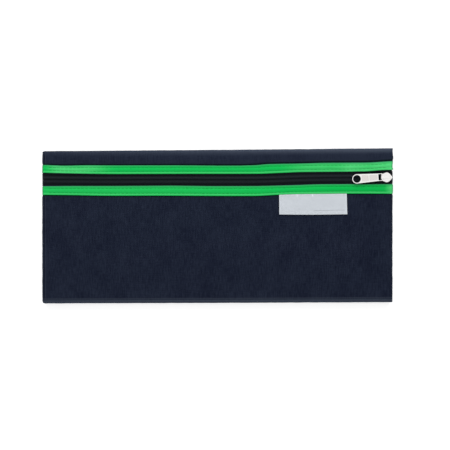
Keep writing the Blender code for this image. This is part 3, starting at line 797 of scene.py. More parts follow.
def outline_of(x, y, panels):
    """The sewn bag's own outline: round corners, a slight taper and two slanting sides."""
    x, y = round_corner(x, y, panels)
    longer = 1 + panels.fullness / HALF_LENGTH
    wider = 1 + panels.fullness / HALF_WIDTH + panels.taper * (x / HALF_LENGTH) * (y / HALF_WIDTH) ** 2
    top = panels.top_fullness * ramp(y, 0, HALF_WIDTH) + panels.rise * ramp(x, 0, HALF_LENGTH)
    return x * longer + panels.lean * y + closed_side(x, y), y * wider + top


def steps_between(low, high, cell):
    """Evenly spaced places from low to high, about a cell apart."""
    return np.linspace(low, high, max(2, round((high - low) / cell) + 1))


def flat_rows(places):
    """Rows of the skin: flat place, reach beyond it, fall to the seam, and length along the cloth."""
    return np.stack([places, 0 * places, 0 * places, places], axis=1)


def rolled(places, roll_low, roll_high, drop, tuck):
    """Rows at flat places, and past them rows that turn round to the seam. The last tucks in under it."""
    angles = np.linspace(0, math.pi / 2, ROLL_STEPS + 1)[1:]
    rows = flat_rows(places)
    for roll, end, side in ((roll_low, places[0], -1), (roll_high, places[-1], 1)):
        if roll:
            out = np.append(roll * np.sin(angles), roll - tuck)
            fall = np.append((1 - GROOVE_SHARE) * (1 - np.cos(angles)), 1.0)
            along = np.cumsum(np.hypot(np.diff(out, prepend=0.0), drop * np.diff(fall, prepend=0.0)))
            turned = np.stack([end + 0 * out, side * out, fall, end + side * along], axis=1)
            rows = np.concatenate([turned[::-1], rows] if side < 0 else [rows, turned])
    return rows


def columns_to(reach, roll, drop, tuck, cell):
    """Columns along the bag, with one at its middle and a roll at each end."""
    half = steps_between(0.0, reach - roll, cell)
    return rolled(np.concatenate([-half[:0:-1], half]), roll, roll, drop, tuck)


def bag_columns(panels):
    """Columns of the panels and ribbons, which roll into the side seams."""
    return columns_to(HALF_LENGTH, panels.side_roll, SKIN_LEVEL - SEAM_LEVEL, panels.tuck, panels.grid)


def normals_of(points):
    """Unit normals of a grid of points."""
    normals = np.cross(np.gradient(points, axis=1), np.gradient(points, axis=0))
    return normals / np.maximum(np.linalg.norm(normals, axis=2, keepdims=True), 1e-12)


def skin(look, columns, rows, front=True):
    """A grid of points on the outside of the bag's cloth.

    With it come their flat places on the cloth, and how far inside the top or bottom seam they lie.
    """
    panels = look.panels
    flat_x, out_x, fall_x, cloth_x = (part[None, :] for part in columns.T)
    flat_y, out_y, fall_y, cloth_y = (part[:, None] for part in rows.T)
    x, y = np.broadcast_arrays(flat_x + out_x, flat_y + out_y)
    level = (1 - fall_x) * (1 - fall_y)
    seam = SEAM_LEVEL + SEAM_WAVE * wave(x, y, SEAM_WAVE_SPAN, look.seed) * (1 - level)
    z = seam + (SKIN_LEVEL - SEAM_LEVEL) * level if front else seam * (1 - level)
    by_zip = ramp(y, LOWER_LOW.y - PINCH_FADE, LOWER_LOW.y) * ramp(y, UPPER_HIGH.y + PINCH_FADE, UPPER_HIGH.y)
    between = ramp(np.abs(y - ZIP_Y), RIBBON_INNER, RIBBON_INNER - PINCH_FADE)
    pinched = x - np.sign(x) * panels.pinch * by_zip * (1 - 0.6 * between) * fall_x
    points = np.stack((*outline_of(pinched, y, panels), z), axis=2)
    normals = normals_of(points) * (1 if front else -1)
    points = points + normals * relief(look, x, y, level, front)[..., None]
    points[..., 1] += stray(x, y) * front
    if not front:
        points[..., 2] = np.maximum(points[..., 2], 0.0)
    cloth = np.stack(np.broadcast_arrays(cloth_x, cloth_y, HALF_WIDTH - np.abs(y)), axis=2)
    return points, cloth


def relief(look, x, y, level, front):
    """Height of the crown, the slow waves, the seam puckers and the ridge over the turned-in edge."""
    panels = look.panels
    from_end = HALF_LENGTH - np.abs(x)
    from_side = HALF_WIDTH - np.abs(y)
    from_zip = np.where(y > ZIP_Y, y - UPPER_HIGH.y, LABEL_HIGH.y - y)
    seam = np.minimum(from_end, from_side)
    along = np.where(from_end < from_side, y, x)
    span = panels.pucker_span
    pucker = wave(along, 0, span, look.seed + (3 if front else 5))
    pucker = pucker + 0.5 * wave(along, 0, span / 2, FINE_PUCKER_SEED)
    height = panels.pucker * pucker * np.exp(-np.maximum(seam, 0) / panels.pucker_reach)
    height = height * ramp(from_zip, 0, PUCKER_FREE) * (0.35 + 0.65 * level)
    height = height + EDGE_WAVE * wave(along, 0, EDGE_WAVE_SPAN, EDGE_WAVE_SEED) * (1 - level)
    if not front:
        return height * (1 - level)
    insets = (panels.ridge_inset, 0.45 * panels.ridge_inset)
    ridge = sum(bell(from_side, inset, reach) for inset, reach in zip(insets, RIDGE_REACHES))
    ridge = panels.ridge * ridge * ramp(from_end, 0, RIDGE_END)
    share_down = np.clip((LOWER_LOW.y - y) / (LOWER_LOW.y + HALF_WIDTH), 0, 1)
    crown = panels.crown * np.clip(1 - (x / HALF_LENGTH) ** 2, 0, 1) * np.sin(math.pi * share_down) ** 2
    span = panels.swell_span
    slow = wave(x, y, span, look.seed) + 0.35 * wave(x, y, span / 2.4, look.seed + 1)
    swell = panels.swell * slow * ramp(from_zip, 0, SWELL_FROM_ZIP) * ramp(seam, 0, SWELL_FROM_SEAM)
    return height + ridge + crown + swell


# Meshes

def mesh_object(name, points, faces, cloth, finish, flat_angle=60.0):
    """A smooth-shaded mesh object that knows each point's flat place on its cloth."""
    mesh = bpy.data.meshes.new(name)
    mesh.from_pydata(points.tolist(), [], faces)
    places = mesh.attributes.new(CLOTH_PLACE, "FLOAT_VECTOR", "POINT")
    places.data.foreach_set("vector", cloth.astype(np.float32).ravel())
    mesh.shade_smooth()
    mesh.set_sharp_from_angle(angle=math.radians(flat_angle))
    mesh.materials.append(finish_of(finish))
    obj = bpy.data.objects.new(name, mesh)
    bpy.context.scene.collection.objects.link(obj)
    return obj


def closed_sheet(name, outer, inner, cloth, finish, flip=False, cut=None):
    """A sheet with two faces and round edges, from two grids of points.

    cut is the column, first or last, where it meets its other half and stays square.
    """
    rows, columns = outer.shape[:2]
    count = rows * columns
    index = np.arange(count).reshape(rows, columns)
    top = np.concatenate([index[0, :-1], index[:-1, -1], index[-1, :0:-1], index[:0:-1, 0]])
    at = np.unravel_index(top, index.shape)
    inward = (np.clip(at[0], 1, rows - 2), np.clip(at[1], 1, columns - 2))
    through_cloth = outer[at] - inner[at]
    depth = np.linalg.norm(through_cloth, axis=1, keepdims=True)
    away = outer[at] - outer[inward]
    away -= through_cloth * (away * through_cloth).sum(1, keepdims=True) / np.maximum(depth**2, 1e-15)
    away /= np.maximum(np.linalg.norm(away, axis=1, keepdims=True), 1e-12)
    bulge = depth / 2
    if cut is not None:
        bulge[at[1] == cut % columns] = 0
    rim = (outer[at] + inner[at]) / 2 + away * bulge
    low = index[:-1, :-1].ravel()
    quads = np.stack([low, low + 1, low + columns + 1, low + columns], axis=1)
    middle = 2 * count + np.arange(len(top))
    after = np.roll(np.arange(len(top)), -1)
    upper_rim = np.stack([middle, middle[after], top[after], top], axis=1)
    lower_rim = np.stack([top + count, top[after] + count, middle[after], middle], axis=1)
    faces = np.concatenate([quads, quads[:, ::-1] + count, upper_rim, lower_rim])
    if flip:
        faces = faces[:, ::-1]
    points = np.concatenate([outer.reshape(-1, 3), inner.reshape(-1, 3), rim])
    places = np.concatenate([cloth.reshape(-1, 3), cloth.reshape(-1, 3), cloth[at]])
    return mesh_object(name, points, faces.tolist(), places, finish)


def loft(first, rings, sides):
    """Faces between rings of points that follow each other from a first point on."""
    faces = []
    for near in range(first, first + (rings - 1) * sides, sides):
        for side in range(sides):
            after = (side + 1) % sides
            faces.append((near + side, near + sides + side, near + sides + after, near + after))
    return faces


def tube(path, radius, beside=(1.0, 0.0, 0.0), sides=6):
    """Points and faces of a closed tube along a path that never runs along the direction beside."""
    along = np.gradient(path, axis=0)
    along /= np.linalg.norm(along, axis=1, keepdims=True)
    first = np.cross(along, beside)
    first /= np.maximum(np.linalg.norm(first, axis=1, keepdims=True), 1e-9)
    second = np.cross(along, first)
    turns = (np.arange(sides) * TURN / sides)[None, :, None]
    ring = np.cos(turns) * first[:, None, :] + np.sin(turns) * second[:, None, :]
    points = (path[:, None, :] + radius * ring).reshape(-1, 3)
    faces = [(a, d, c, b) for a, b, c, d in loft(0, len(path), sides)]
    last = len(points) - sides
    return points, faces + [tuple(range(sides - 1, -1, -1)), tuple(range(last, last + sides))]


def capsule(radius, reach, sides=7, rings=3):
    """Points and faces of a round-ended stitch along X."""
    turns = TURN * np.arange(sides) / sides
    angles = np.linspace(0, math.pi / 2, rings + 1)[1:]
    x = -reach - radius * np.cos(angles)
    wide = radius * np.sin(angles)
    x = np.append(x, -x[::-1])[:, None]
    wide = np.append(wide, wide[::-1])[:, None]
    bands = np.stack([x + 0 * turns, wide * np.cos(turns), wide * np.sin(turns)], axis=2).reshape(-1, 3)
    tip = reach + radius
    points = np.concatenate([[(-tip, 0, 0)], bands, [(tip, 0, 0)]])
    faces = loft(1, 2 * rings, sides)
    last = len(bands) + 1
    near = last - sides
    for side in range(sides):
        after = (side + 1) % sides
        faces += [(0, 1 + side, 1 + after), (near + side, last, near + after)]
    return points, faces


# How the pieces are held


def settle(pieces, node):
    """Let one piece ride on the bag, or keep two halves where they lie.

    They stand for a node of the model.
    """
    for piece, side in zip(pieces, (-1, 1)):
        if len(pieces) == 1:
            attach(piece, "root")
        else:
            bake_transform(piece)
        if node:
            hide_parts(node)


def cut_size(cloth):
    """Length and width that a grid's cloth was cut to, without its seam allowances."""
    span = np.ptp(cloth.reshape(-1, 3), axis=0)
    return float(span[0]), float(span[1])


def sew(name, outer, inner, cloth, finish, node, halves=False, width=None, flip=False):
    """Make a cloth piece, or two halves that meet at the middle of the bag, and settle it.

    width is the one it was cut to, and None where it is too narrow for a sheet; it is not used.
    """
    if halves:
        middle = int(np.argmin(np.abs(cloth[0, :, 0])))
        pieces = [
            closed_sheet(name + end, *(grid[:, part] for grid in (outer, inner, cloth)), finish, cut=cut)
            for end, part, cut in (("_left", slice(middle + 1), -1), ("_right", slice(middle, None), 0))
        ]
    else:
        pieces = [closed_sheet(name, outer, inner, cloth, finish, flip=flip)]
    settle(pieces, node)


def parts_of(name, side, start, end):
    """Name and ends of a whole lower piece, or of each half of an upper one."""
    if side < 0:
        return [("lower_" + name, start, end)]
    return [("upper_" + name + "_left", start, 0), ("upper_" + name + "_right", 0, end)]


class PENCILBAG_OT_back_panel(bpy.types.Operator):
    """Make the back of the bag, flat on the floor with its edges turned up to the seams"""

    bl_idname = "pencil_bag.back_panel"
    bl_label = "Back panel"

    def execute(self, context):
        look = context.scene.pencil_bag
        panels = look.panels
        end = HALF_WIDTH - panels.back_roll
        places = steps_between(-end, end, panels.grid * 2)
        rows = rolled(places, panels.back_roll, panels.back_roll, SEAM_LEVEL, panels.tuck)
        outer, cloth = skin(look, bag_columns(panels), rows, front=False)
        inner = outer + normals_of(outer) * panels.thickness
        width = cut_size(cloth)[1]
        sew("back_cloth", outer, inner, cloth, "navy_cloth", "back_panel", width=width, flip=True)
        return {"FINISHED"}


class PENCILBAG_OT_front_panels(bpy.types.Operator):
    """Make the front below the zip and the strip above it"""

    bl_idname = "pencil_bag.front_panels"
    bl_label = "Front panels"

    def execute(self, context):
        look = context.scene.pencil_bag
        panels = look.panels
        low = -HALF_WIDTH + panels.bottom_roll
        high = HALF_WIDTH - panels.top_roll
        for name, node, ends, rolls, halves in (
            ("front_cloth", "front_panel", (low, ZIP_Y - CLOTH_EDGE), (panels.bottom_roll, 0), False),
            ("strip_cloth", "top_panel", (ZIP_Y + CLOTH_EDGE, high), (0, panels.top_roll), True),
        ):
            rows = rolled(steps_between(*ends, panels.grid), *rolls, SKIN_LEVEL - SEAM_LEVEL, panels.tuck)
            outer, cloth = skin(look, bag_columns(panels), rows)
            inner = outer - normals_of(outer) * panels.thickness
            sew(name, outer, inner, cloth, "navy_cloth", node, halves, cut_size(cloth)[1])
        return {"FINISHED"}


class PENCILBAG_OT_seams(bpy.types.Operator):
    """Make the overlocked edges inside the top and bottom seams"""

    bl_idname = "pencil_bag.seams"
    bl_label = "Seams"

    def execute(self, context):
        look = context.scene.pencil_bag
        panels = look.panels
        end = HALF_LENGTH - panels.side_roll
        x = steps_between(-end, end, panels.grid * 2)
        for name, side in (("bottom_overlock", -1), ("top_overlock", 1)):
            y = side * (HALF_WIDTH - panels.overlock_inset) + 0 * x
            level = SEAM_LEVEL + SEAM_WAVE * wave(x, y, SEAM_WAVE_SPAN, look.seed)
            path = np.stack([*outline_of(x, y, panels), level], axis=1)
            points, faces = tube(path, panels.overlock / 2, (0.0, 0.0, 1.0), 8)
            places = points * (1, 1, 0) + (0, 0, HALF_WIDTH)
            settle([mesh_object(name, points, faces, places, "navy_cloth")], None)
        return {"FINISHED"}


# Places across a ribbon from its edge, closer together at the edge and the stitches
RIBBON_PLACES = (
    0.0, 0.00008, 0.00020, 0.00040, 0.00070, 0.00110, 0.0015, 0.0019, 0.0021, 0.0023, 0.0025, 0.0027,
)
RIBBON_MIDDLE = 0.0031
RIBBON_GAP = 0.0001
EDGE_SHARE = 0.35
DIMPLE_REACH = 0.00038
CROWN_RISE = 0.0022
STITCH_LIFT_SHARE = 0.12
STITCH_END_GAP = 0.001


def ribbon_lift(trim, across, width, flat):
    """Height of a ribbon's face: round edges, and stitched dimples with a crown between where it is flat."""
    from_edge = np.minimum(across, 1 - across) * width
    rounding = np.sqrt(np.clip(1 - (1 - np.clip(from_edge / trim.thickness, 0, 1)) ** 2, 0, 1))
    dimple = trim.dimple * bell(from_edge, trim.inset, DIMPLE_REACH)
    crown = trim.crown * ramp(from_edge, trim.inset, trim.inset + CROWN_RISE)
    return trim.thickness * (EDGE_SHARE + (1 - EDGE_SHARE) * rounding) + (crown - dimple) * flat


def ribbon_shares(width):
    """Shares of a ribbon's width from edge to edge."""
    half = np.concatenate([RIBBON_PLACES, np.linspace(RIBBON_MIDDLE, width / 2, 3)]) / width
    return np.concatenate([half, 1 - half[-2::-1]])


def ribbon_face(look, side, columns, shares):
    """Points on one ribbon's face and underside, with their flat places and shares of its width."""
    width = RIBBON_WIDTH[side]
    x = (columns[:, 0] + columns[:, 1])[None, :]
    fall = columns[:, 2][None, :]
    across = shares[::side][:, None]
    inner, outer = (through(edge, x) for edge in RIBBON_EDGES[side])
    inner = side * RIBBON_INNER + inner
    outer = side * (RIBBON_INNER + width) + outer
    under, cloth = skin(look, columns, flat_rows(ZIP_Y + side * (RIBBON_INNER + across[:, 0] * width)))
    under[..., 1] = ZIP_Y + inner * (1 - across) + outer * across
    cloth[..., 2] = across if side > 0 else 1 - across
    normals = normals_of(under)
    low = RIBBON_GAP + through(UPPER_LEAN, x) * (1 - across) ** 1.5 * (side > 0)
    high = low + ribbon_lift(look.trim, across, np.abs(outer - inner), ramp(fall, 0.25, 0.0))
    held = 1 - (1 - look.trim.end_share) * fall
    return under + normals * (high * held)[..., None], under + normals * (low * held)[..., None], cloth


class PENCILBAG_OT_ribbons(bpy.types.Operator):
    """Make the two ribbons that cover the cloth's edges along the zip"""

    bl_idname = "pencil_bag.ribbons"
    bl_label = "Ribbons"

    def execute(self, context):
        look = context.scene.pencil_bag
        columns = bag_columns(look.panels)[1:-1]
        for side, name in ((-1, "lower"), (1, "upper")):
            grids = ribbon_face(look, side, columns, ribbon_shares(RIBBON_WIDTH[side]))
            sew(name + "_ribbon", *grids, "green_ribbon", "ribbon_" + name, side > 0)
        return {"FINISHED"}


def stitch_row(look, side, across, x_low, x_high):
    """Places of the stitches in one row, on the ribbon's face."""
    pitch = look.trim.stitch_pitch
    half = np.arange(pitch / 2, HALF_LENGTH - look.panels.side_roll - pitch / 2, pitch)
    places = np.concatenate([-half[::-1], half])
    near = across + np.array([-0.01, 0.0, 0.01])
    row = ribbon_face(look, side, flat_rows(places), near)[0][1]
    return row[(places > x_low) & (places < x_high)]


class PENCILBAG_OT_stitches(bpy.types.Operator):
    """Make the rows of stitches along both edges of both ribbons"""

    bl_idname = "pencil_bag.stitches"
    bl_label = "Stitches"

    def execute(self, context):
        look = context.scene.pencil_bag
        trim = look.trim
        end = HALF_LENGTH - look.panels.side_roll - STITCH_END_GAP
        stitch, stitch_faces = capsule(trim.thread / 2, (trim.stitch - trim.thread) / 2)
        stitch = stitch + (0, 0, trim.thread * STITCH_LIFT_SHARE)
        for side, node in ((-1, None), (1, "ribbon_upper")):
            inset = trim.inset / RIBBON_WIDTH[side]
            pieces = []
            for name, x_low, x_high in parts_of("stitches", side, -end, end):
                rows = [stitch_row(look, side, across, x_low, x_high) for across in (inset, 1 - inset)]
                points = (np.concatenate(rows)[:, None, :] + stitch).reshape(-1, 3)
                faces = [
                    tuple(first + corner for corner in face)
                    for first in range(0, len(points), len(stitch))
                    for face in stitch_faces
                ]
                pieces.append(mesh_object(name, points, faces, points * (1, 1, 0), "green_thread"))
            settle(pieces, node)
        return {"FINISHED"}


# The zip: distances from its parting, with their reaches
COIL_RIDGE = (0.0021, 0.0010)
TAPE_HOLLOW = (0.0052, 0.0013)
TAPE_GROOVE = (0.0, 0.00065)
UNDER_CLOTH = (0.0064, 0.0070)
TAPE_PARTING = 0.00012
TAPE_SPREAD = 0.0028
TAPE_SPREAD_ALONG = (0.1655, 0.1715)
TAPE_TUCK = 0.0002
TAPE_SINK = 0.0001
TAPE_PLACES = (
    0, 0.00015, 0.0004, 0.0007, 0.0010, 0.0014, 0.0018, 0.0022, 0.0026, 0.0031, 0.0037, 0.0044, 0.0052,
    0.0060, 0.0068, 0.0080, 0.0100,
)
COIL_STEPS = 10
COIL_INNER = 0.00075
COIL_OUTER = 0.00275
COIL_SPREAD = 0.0021
COIL_SPREAD_ALONG = (0.1662, 0.1711)
OPEN_END_TURNS = 2


class PENCILBAG_OT_zip_tapes(bpy.types.Operator):
    """Make the two zip tapes, parted at the slider and turned down into the side seams"""

    bl_idname = "pencil_bag.zip_tapes"
    bl_label = "Zip tapes"

    def execute(self, context):
        look = context.scene.pencil_bag
        sizes = look.zip
        drop = TAPE_HIGH.z - SEAM_LEVEL
        columns = columns_to(HALF_LENGTH - sizes.end_inset, sizes.end_roll, drop, TAPE_TUCK, look.panels.grid)
        x = (columns[:, 0] + columns[:, 1])[None, :]
        fall = columns[:, 2][None, :]
        parting = TAPE_PARTING + TAPE_SPREAD * ramp(x, *TAPE_SPREAD_ALONG)
        widest = TAPE_HIGH.y - ZIP_Y
        shares = np.array([*TAPE_PLACES, widest])[:, None] / widest
        from_middle = parting + (widest - parting) * shares
        covered = ramp(from_middle, *UNDER_CLOTH)
        level = TAPE_HIGH.z + sizes.coil_rise * bell(from_middle, *COIL_RIDGE)
        level = level - sizes.hollow * bell(from_middle, *TAPE_HOLLOW)
        level = level - sizes.groove * bell(from_middle, *TAPE_GROOVE)
        level = level * (1 - covered) + (TAPE_HIGH.z - TAPE_SINK) * covered
        z = SEAM_LEVEL + (level - SEAM_LEVEL) * (1 - fall)
        out = x + np.sign(x) * sizes.end_swell * (1 - covered) * fall
        for side, name in ((-1, "lower"), (1, "upper")):
            y = ZIP_Y + side * from_middle + zip_stray(x)
            outer = np.stack([out + closed_side(x, y), y, z], axis=2)[::side]
            cloth = np.stack([columns[:, 3] + 0 * y, side * from_middle, 0 * y], axis=2)[::side]
            inner = outer - normals_of(outer) * sizes.tape_thickness
            sew(name + "_tape", outer, inner, cloth, "black_tape", "zip_tape_" + name, side > 0, widest)
        return {"FINISHED"}


class PENCILBAG_OT_zip_coils(bpy.types.Operator):
    """Make the two wound coils under the tapes, hooked into each other up to the slider"""

    bl_idname = "pencil_bag.zip_coils"
    bl_label = "Zip coils"

    def execute(self, context):
        sizes = context.scene.pencil_bag.zip
        turns_each = round(COIL_HIGH.x / sizes.pitch)
        middle = (COIL_LOW.z + COIL_HIGH.z) / 2
        high = (COIL_HIGH.z - COIL_LOW.z - sizes.wire) / 2
        wide = (COIL_OUTER + COIL_INNER - sizes.wire) / 2
        for side, node in ((-1, "zip_coil_lower"), (1, "zip_coil_upper")):
            pieces = []
            for name, first, last in parts_of("coil", side, OPEN_END_TURNS - turns_each, turns_each):
                turn = np.linspace(first, last, (last - first) * COIL_STEPS + 1)
                x = (turn + side / 4) * sizes.pitch
                reach = (COIL_OUTER - COIL_INNER) / 2 + wide * np.cos(turn * TURN)
                y = ZIP_Y + zip_stray(x) + side * (reach + COIL_SPREAD * ramp(x, *COIL_SPREAD_ALONG))
                path = np.stack([x, y, middle + high * np.sin(turn * TURN)], axis=1)
                points, faces = tube(path, sizes.wire / 2)
                places = points * (1, 1, 0)
                pieces.append(mesh_object(name, points, faces, places, "black_coil", flat_angle=80.0))
            settle(pieces, node)
        return {"FINISHED"}


# The label's cells, and how it hangs
LABEL_CELL = 0.0012
LABEL_ROW = 0.0011
LABEL_EDGE = (0.0002, 0.0005)
HEM_STEP = 0.0002
HEM_LIFT = 0.00012
LABEL_FLARE = 0.0004
LABEL_SHIFT = 0.0003
LABEL_SLANT = 0.0002
LABEL_BOW = 0.0003
LABEL_BEND = 0.004
LABEL_WAVE_SPAN = 0.013
LABEL_WAVE_SEED = 4.5
PUCKER_HEIGHT = 0.00045
PUCKER_DROP = 0.0026
TUCKED = (-0.0006, 0.0002)
LABEL_GAP = 0.00018
TUCKED_GAP = 0.00003
TUCKED_THINNING = 0.62


class PENCILBAG_OT_label(bpy.types.Operator):
    """Make the cloth label that hangs from under the lower ribbon"""

    bl_idname = "pencil_bag.label"
    bl_label = "Label"

    def execute(self, context):
        look = context.scene.pencil_bag
        sizes = look.label
        left = LABEL_LOW.x
        right = LABEL_HIGH.x - sizes.trim
        high = LABEL_HIGH.y
        hems = np.array([*LABEL_EDGE, sizes.hem - HEM_STEP, sizes.hem, sizes.hem + HEM_STEP])
        x = np.concatenate([steps_between(left, right, LABEL_CELL), left + hems, right - hems])
        x = np.unique(np.round(x, 6))
        y = LABEL_LOW.y + np.array([0.0, *LABEL_EDGE])
        y = np.concatenate([y, steps_between(LABEL_LOW.y + LABEL_CELL, high + sizes.tuck, LABEL_ROW)])
        under, cloth = skin(look, flat_rows(x), flat_rows(y))
        x = x[None, :]
        y = y[:, None]
        down = (high - y) / (high - LABEL_LOW.y)
        free = ramp(down, 0, 1)
        across = (x - left) / (right - left)
        hang = sizes.rise + LABEL_SLANT * (1 - across) - LABEL_BOW * np.sin(math.pi * across)
        under[..., 0] = x + np.where(x > (left + right) / 2, LABEL_FLARE * down, LABEL_SHIFT)
        under[..., 1] = y + through(LOWER_OUTER, x) * (1 - free) + hang * free
        normals = normals_of(under)
        hem = sum(ramp(inset, sizes.hem, sizes.hem - HEM_STEP) for inset in (x - left, right - x))
        pucker = sum(strength * bell(x, at, reach) for at, reach, _, strength in PUCKERS)
        pucker = PUCKER_HEIGHT * pucker * bell(y, high - PUCKER_DROP, PUCKER_DROP)
        waves = sizes.wave * (1 + wave(x, y, LABEL_WAVE_SPAN, LABEL_WAVE_SEED))
        tucked = ramp(y - high, *TUCKED)
        lift = LABEL_GAP * (1 - tucked) + TUCKED_GAP + (waves + pucker) * ramp(y, high, high - LABEL_BEND)
        cloth_lift = sizes.thickness * (1 - TUCKED_THINNING * tucked) + HEM_LIFT * hem * (1 - tucked)
        outer = under + normals * (lift + cloth_lift)[..., None]
        inner = under + normals * lift[..., None]
        piece = closed_sheet("cloth_label", outer, inner, cloth, "label_cloth")
        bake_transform(piece)
        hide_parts("name_label")
        return {"FINISHED"}


# The slider and its pull

PANEL_SPLIT = 0.54
RING_STEPS = 49


def arc(centre, radius, first, last, steps=6):
    """Points of an arc, its angles in degrees."""
    turns = np.radians(np.linspace(first, last, steps))
    return np.stack([centre[0] + radius * np.cos(turns), centre[1] + radius * np.sin(turns)], axis=1)


def rounded_box(low, high, half_low, half_high, corner):
    """A box from low to high along X with round corners, going round to the right."""
    return np.concatenate([
        arc((high - corner, half_high - corner), corner, 90, 0),
        arc((high - corner, corner - half_high), corner, 0, -90),
        arc((low + corner, corner - half_low), corner, -90, -180),
        arc((low + corner, half_low - corner), corner, 180, 90),
    ])


def set_in(loop, inset):
    """A closed loop moved to its left by an inset."""
    ahead = np.roll(loop, -1, axis=0) - loop
    ahead /= np.linalg.norm(ahead, axis=1, keepdims=True)
    behind = np.roll(ahead, 1, axis=0)
    left = np.stack([-(ahead + behind)[:, 1], (ahead + behind)[:, 0]], axis=1)
    return loop + left * (2 * inset / np.square(left).sum(1, keepdims=True))


def plate(name, loops, panels, half_thickness, rounding, depth, finish):
    """A plate with rounded edges and sunk panels. Seen from above, its metal is left of each loop."""
    points = []
    faces = []
    steps = np.linspace(0, math.pi / 2, 5)
    rim = [(rounding * (1 - math.sin(a)), half_thickness - rounding * (1 - math.cos(a))) for a in steps]
    rim += [(inset, -level) for inset, level in rim[::-1]]
    lip = [(0.0, 0.0), (-depth / 4, depth / 5), (-depth / 2, depth)]
    lip = [(inset, half_thickness - fall) for inset, fall in lip]

    def rings(loop, profile):
        first = len(points)
        for inset, level in profile:
            points.extend((x, y, level) for x, y in set_in(loop, inset))
        faces.extend(loft(first, len(profile), len(loop)))
        return list(range(first, first + len(loop))), list(range(len(points) - len(loop), len(points)))

    def fill(borders, up):
        known = [index for border in borders for index in border]
        for face in tessellate_polygon([[Vector(points[index]) for index in border] for border in borders]):
            corners = [known[corner] for corner in face]
            a, b, c = (Vector(points[corner]) for corner in corners)
            faces.append(tuple(corners if ((b - a).cross(c - a).z > 0) == up else corners[::-1]))

    borders = [rings(loop, rim) for loop in loops]
    sunk = [rings(loop, lip) for loop in panels]
    fill([border[0] for border in borders + sunk], True)
    fill([border[1] for border in borders], False)
    for border in sunk:
        fill([border[1]], True)
    points = np.array(points)
    return mesh_object(name, points, faces, 0 * points, finish)


def pull_loops(sizes):
    """The pull's outline, its two holes and its two sunk panels, about the crossbar."""
    middle = (-sizes.reach, 0.0)
    corner_x = sizes.crossbar / 2 - sizes.eye_corner
    corner_y = sizes.eye - sizes.eye_corner
    outline = np.concatenate([
        arc(middle, sizes.ring, 88, 272, RING_STEPS),
        [(-sizes.bar_end, -sizes.bar)],
        arc((corner_x, -corner_y), sizes.eye_corner, -90, 0),
        arc((corner_x, corner_y), sizes.eye_corner, 0, 90),
        [(-sizes.bar_end, sizes.bar)],
    ])
    hole = arc(middle, sizes.hole, 360, 0, RING_STEPS)[:-1]
    window_low = -sizes.crossbar / 2 - sizes.window
    half = sizes.window_half
    window = rounded_box(window_low, -sizes.crossbar / 2, half, half, sizes.window_corner)

    def panel(low, high):
        wider = (sizes.ring - sizes.bar) / (sizes.reach - sizes.bar_end)
        halves = [sizes.bar + wider * (-x - sizes.bar_end) - sizes.border for x in (low, high)]
        return rounded_box(low, high, *halves, sizes.window_corner)

    near = window_low - sizes.margin
    far = -sizes.reach + sizes.hole + sizes.margin
    split = near + PANEL_SPLIT * (far - near)
    return [outline, hole, window], [panel(split + sizes.rib / 2, near), panel(far, split - sizes.rib / 2)]


class PENCILBAG_OT_slider(bpy.types.Operator):
    """Plate the slider and its cap, and make the pull with its ring, window and sunk panels"""

    bl_idname = "pencil_bag.slider"
    bl_label = "Slider"

    def execute(self, context):
        for name, finish in (("slider_body", "body_nickel"), ("slider_cap", "cap_nickel")):
            materials = frame["nodes"][name].data.materials
            materials.clear()
            materials.append(finish_of(finish))
        sizes = context.scene.pencil_bag.pull
        half = (PULL_HIGH.z - PULL_LOW.z) / 2
        piece = plate("pull", *pull_loops(sizes), half, sizes.rounding, sizes.depth, "pull_nickel")
        slid = Matrix.Translation((0, sizes.slide, 0))
        piece.data.transform(Matrix.Translation(CROSSBAR) @ Matrix.Rotation(PULL_TURN, 4, "Z") @ slid)
        piece.modifiers.new("flat faces", "WEIGHTED_NORMAL")
        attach(piece, "pull")
        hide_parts("pull_tab")
        return {"FINISHED"}


# The stage

FLOOR_GAP = 0.0002


def camera_sees(finish):
    """1 for rays that show the background: from the camera, off metal or through glass."""
    camera = finish.add("ShaderNodeLightPath", output="Is Camera Ray")
    return camera.most(camera.beside("Is Glossy Ray")).most(camera.beside("Is Transmission Ray"))


def make_floor(look):
    """A pale floor that the camera sees as white, but for the bag's shadow."""
    half = look.stage.floor_size / 2
    mesh = bpy.data.meshes.new("floor")
    corners = [(-half, -half, 0), (half, -half, 0), (half, half, 0), (-half, half, 0)]
    mesh.from_pydata(corners, [], [(0, 1, 2, 3)])
    floor = bpy.data.objects.new("floor", mesh)
    floor.location.z = -FLOOR_GAP
    bpy.context.scene.collection.objects.link(floor)
    finish = Finish(bpy.data.materials.new("pale_floor"))
    finish.set({
        "Base Color": look.colours.floor,
        "Roughness": 0.9,
        "Specular IOR Level": 0.0,
        "Emission Color": finish.mix(camera_sees(finish), (0, 0, 0), (1, 1, 1)),
        "Emission Strength": look.stage.glow,
    })
    mesh.materials.append(finish.owner)


def make_world(look):
    """White where it shows, and plain soft light where it doesn't."""
    world = bpy.data.worlds.new("studio")
    bpy.context.scene.world = world
    finish = Finish(world, "Background")
    ambient = look.stage.ambient
    finish.set({"Color": (1, 1, 1), "Strength": ambient + camera_sees(finish) * (1 - ambient)})


def make_lamp(name, side, power, stage):
    """A long soft lamp beyond one edge, aimed at the bag."""
    lamp = bpy.data.lights.new(name, "AREA")
    lamp.shape = "RECTANGLE"
    lamp.size = stage.lamp_long
    lamp.size_y = stage.lamp_wide
    lamp.energy = power
    obj = bpy.data.objects.new(name, lamp)
    obj.location = (0.0, side * stage.lamp_away, stage.lamp_high)
    obj.rotation_euler = (-obj.location).to_track_quat("-Z", "Y").to_euler()
    obj.visible_glossy = False
    bpy.context.scene.collection.objects.link(obj)


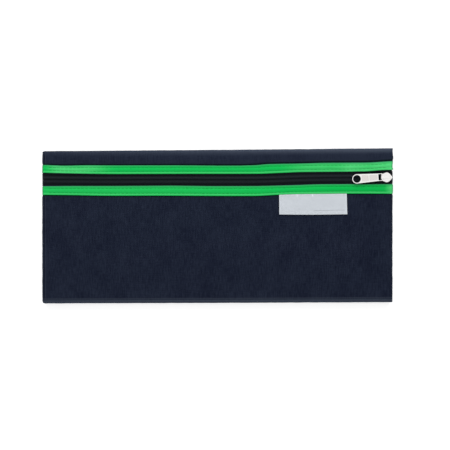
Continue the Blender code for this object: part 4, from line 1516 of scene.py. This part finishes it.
class PENCILBAG_OT_stage(bpy.types.Operator):
    """Set the floor, the light and the camera"""

    bl_idname = "pencil_bag.stage"
    bl_label = "Stage"

    def execute(self, context):
        look = context.scene.pencil_bag
        stage = look.stage
        context.scene.view_settings.view_transform = "Standard"
        make_floor(look)
        make_world(look)
        make_lamp("beyond_top", 1, stage.top_lamp, stage)
        make_lamp("beyond_bottom", -1, stage.bottom_lamp, stage)
        data = bpy.data.cameras.new("camera")
        data.lens = stage.lens
        camera = bpy.data.objects.new("camera", data)
        distance = stage.field * stage.lens / data.sensor_width
        camera.location = (stage.centre_x, stage.centre_y, SEAM_LEVEL + distance)
        camera.rotation_euler = (0, 0, -stage.roll)
        context.scene.collection.objects.link(camera)
        context.scene.camera = camera
        return {"FINISHED"}


class PENCILBAG_PT_tools(bpy.types.Panel):
    """Every step that dresses the bag"""

    bl_idname = "PENCILBAG_PT_tools"
    bl_label = "Pencil bag"
    bl_space_type = "VIEW_3D"
    bl_region_type = "UI"
    bl_category = "Pencil bag"

    def draw(self, context):
        for operator in OPERATORS:
            self.layout.operator(operator.bl_idname)


GROUPS = (PanelSizes, ZipSizes, TrimSizes, LabelSizes, PullSizes, Colours, StageSizes, BagLook)
OPERATORS = (
    PENCILBAG_OT_back_panel,
    PENCILBAG_OT_front_panels,
    PENCILBAG_OT_seams,
    PENCILBAG_OT_ribbons,
    PENCILBAG_OT_stitches,
    PENCILBAG_OT_zip_tapes,
    PENCILBAG_OT_zip_coils,
    PENCILBAG_OT_label,
    PENCILBAG_OT_slider,
    PENCILBAG_OT_stage,
)


def register():
    """Register the add-on's classes and settings."""
    for each in (*GROUPS, *OPERATORS, PENCILBAG_PT_tools):
        bpy.utils.register_class(each)
    bpy.types.Scene.pencil_bag = PointerProperty(type=BagLook)


def unregister():
    """Take the add-on's classes and settings out again."""
    del bpy.types.Scene.pencil_bag
    for each in reversed((*GROUPS, *OPERATORS, PENCILBAG_PT_tools)):
        bpy.utils.unregister_class(each)


def main():
    register()
    bpy.ops.pencil_bag.back_panel()
    bpy.ops.pencil_bag.front_panels()
    bpy.ops.pencil_bag.seams()
    bpy.ops.pencil_bag.ribbons()
    bpy.ops.pencil_bag.stitches()
    bpy.ops.pencil_bag.zip_tapes()
    bpy.ops.pencil_bag.zip_coils()
    bpy.ops.pencil_bag.label()
    bpy.ops.pencil_bag.slider()
    bpy.ops.pencil_bag.stage()


if __name__ == "__main__":
    main()
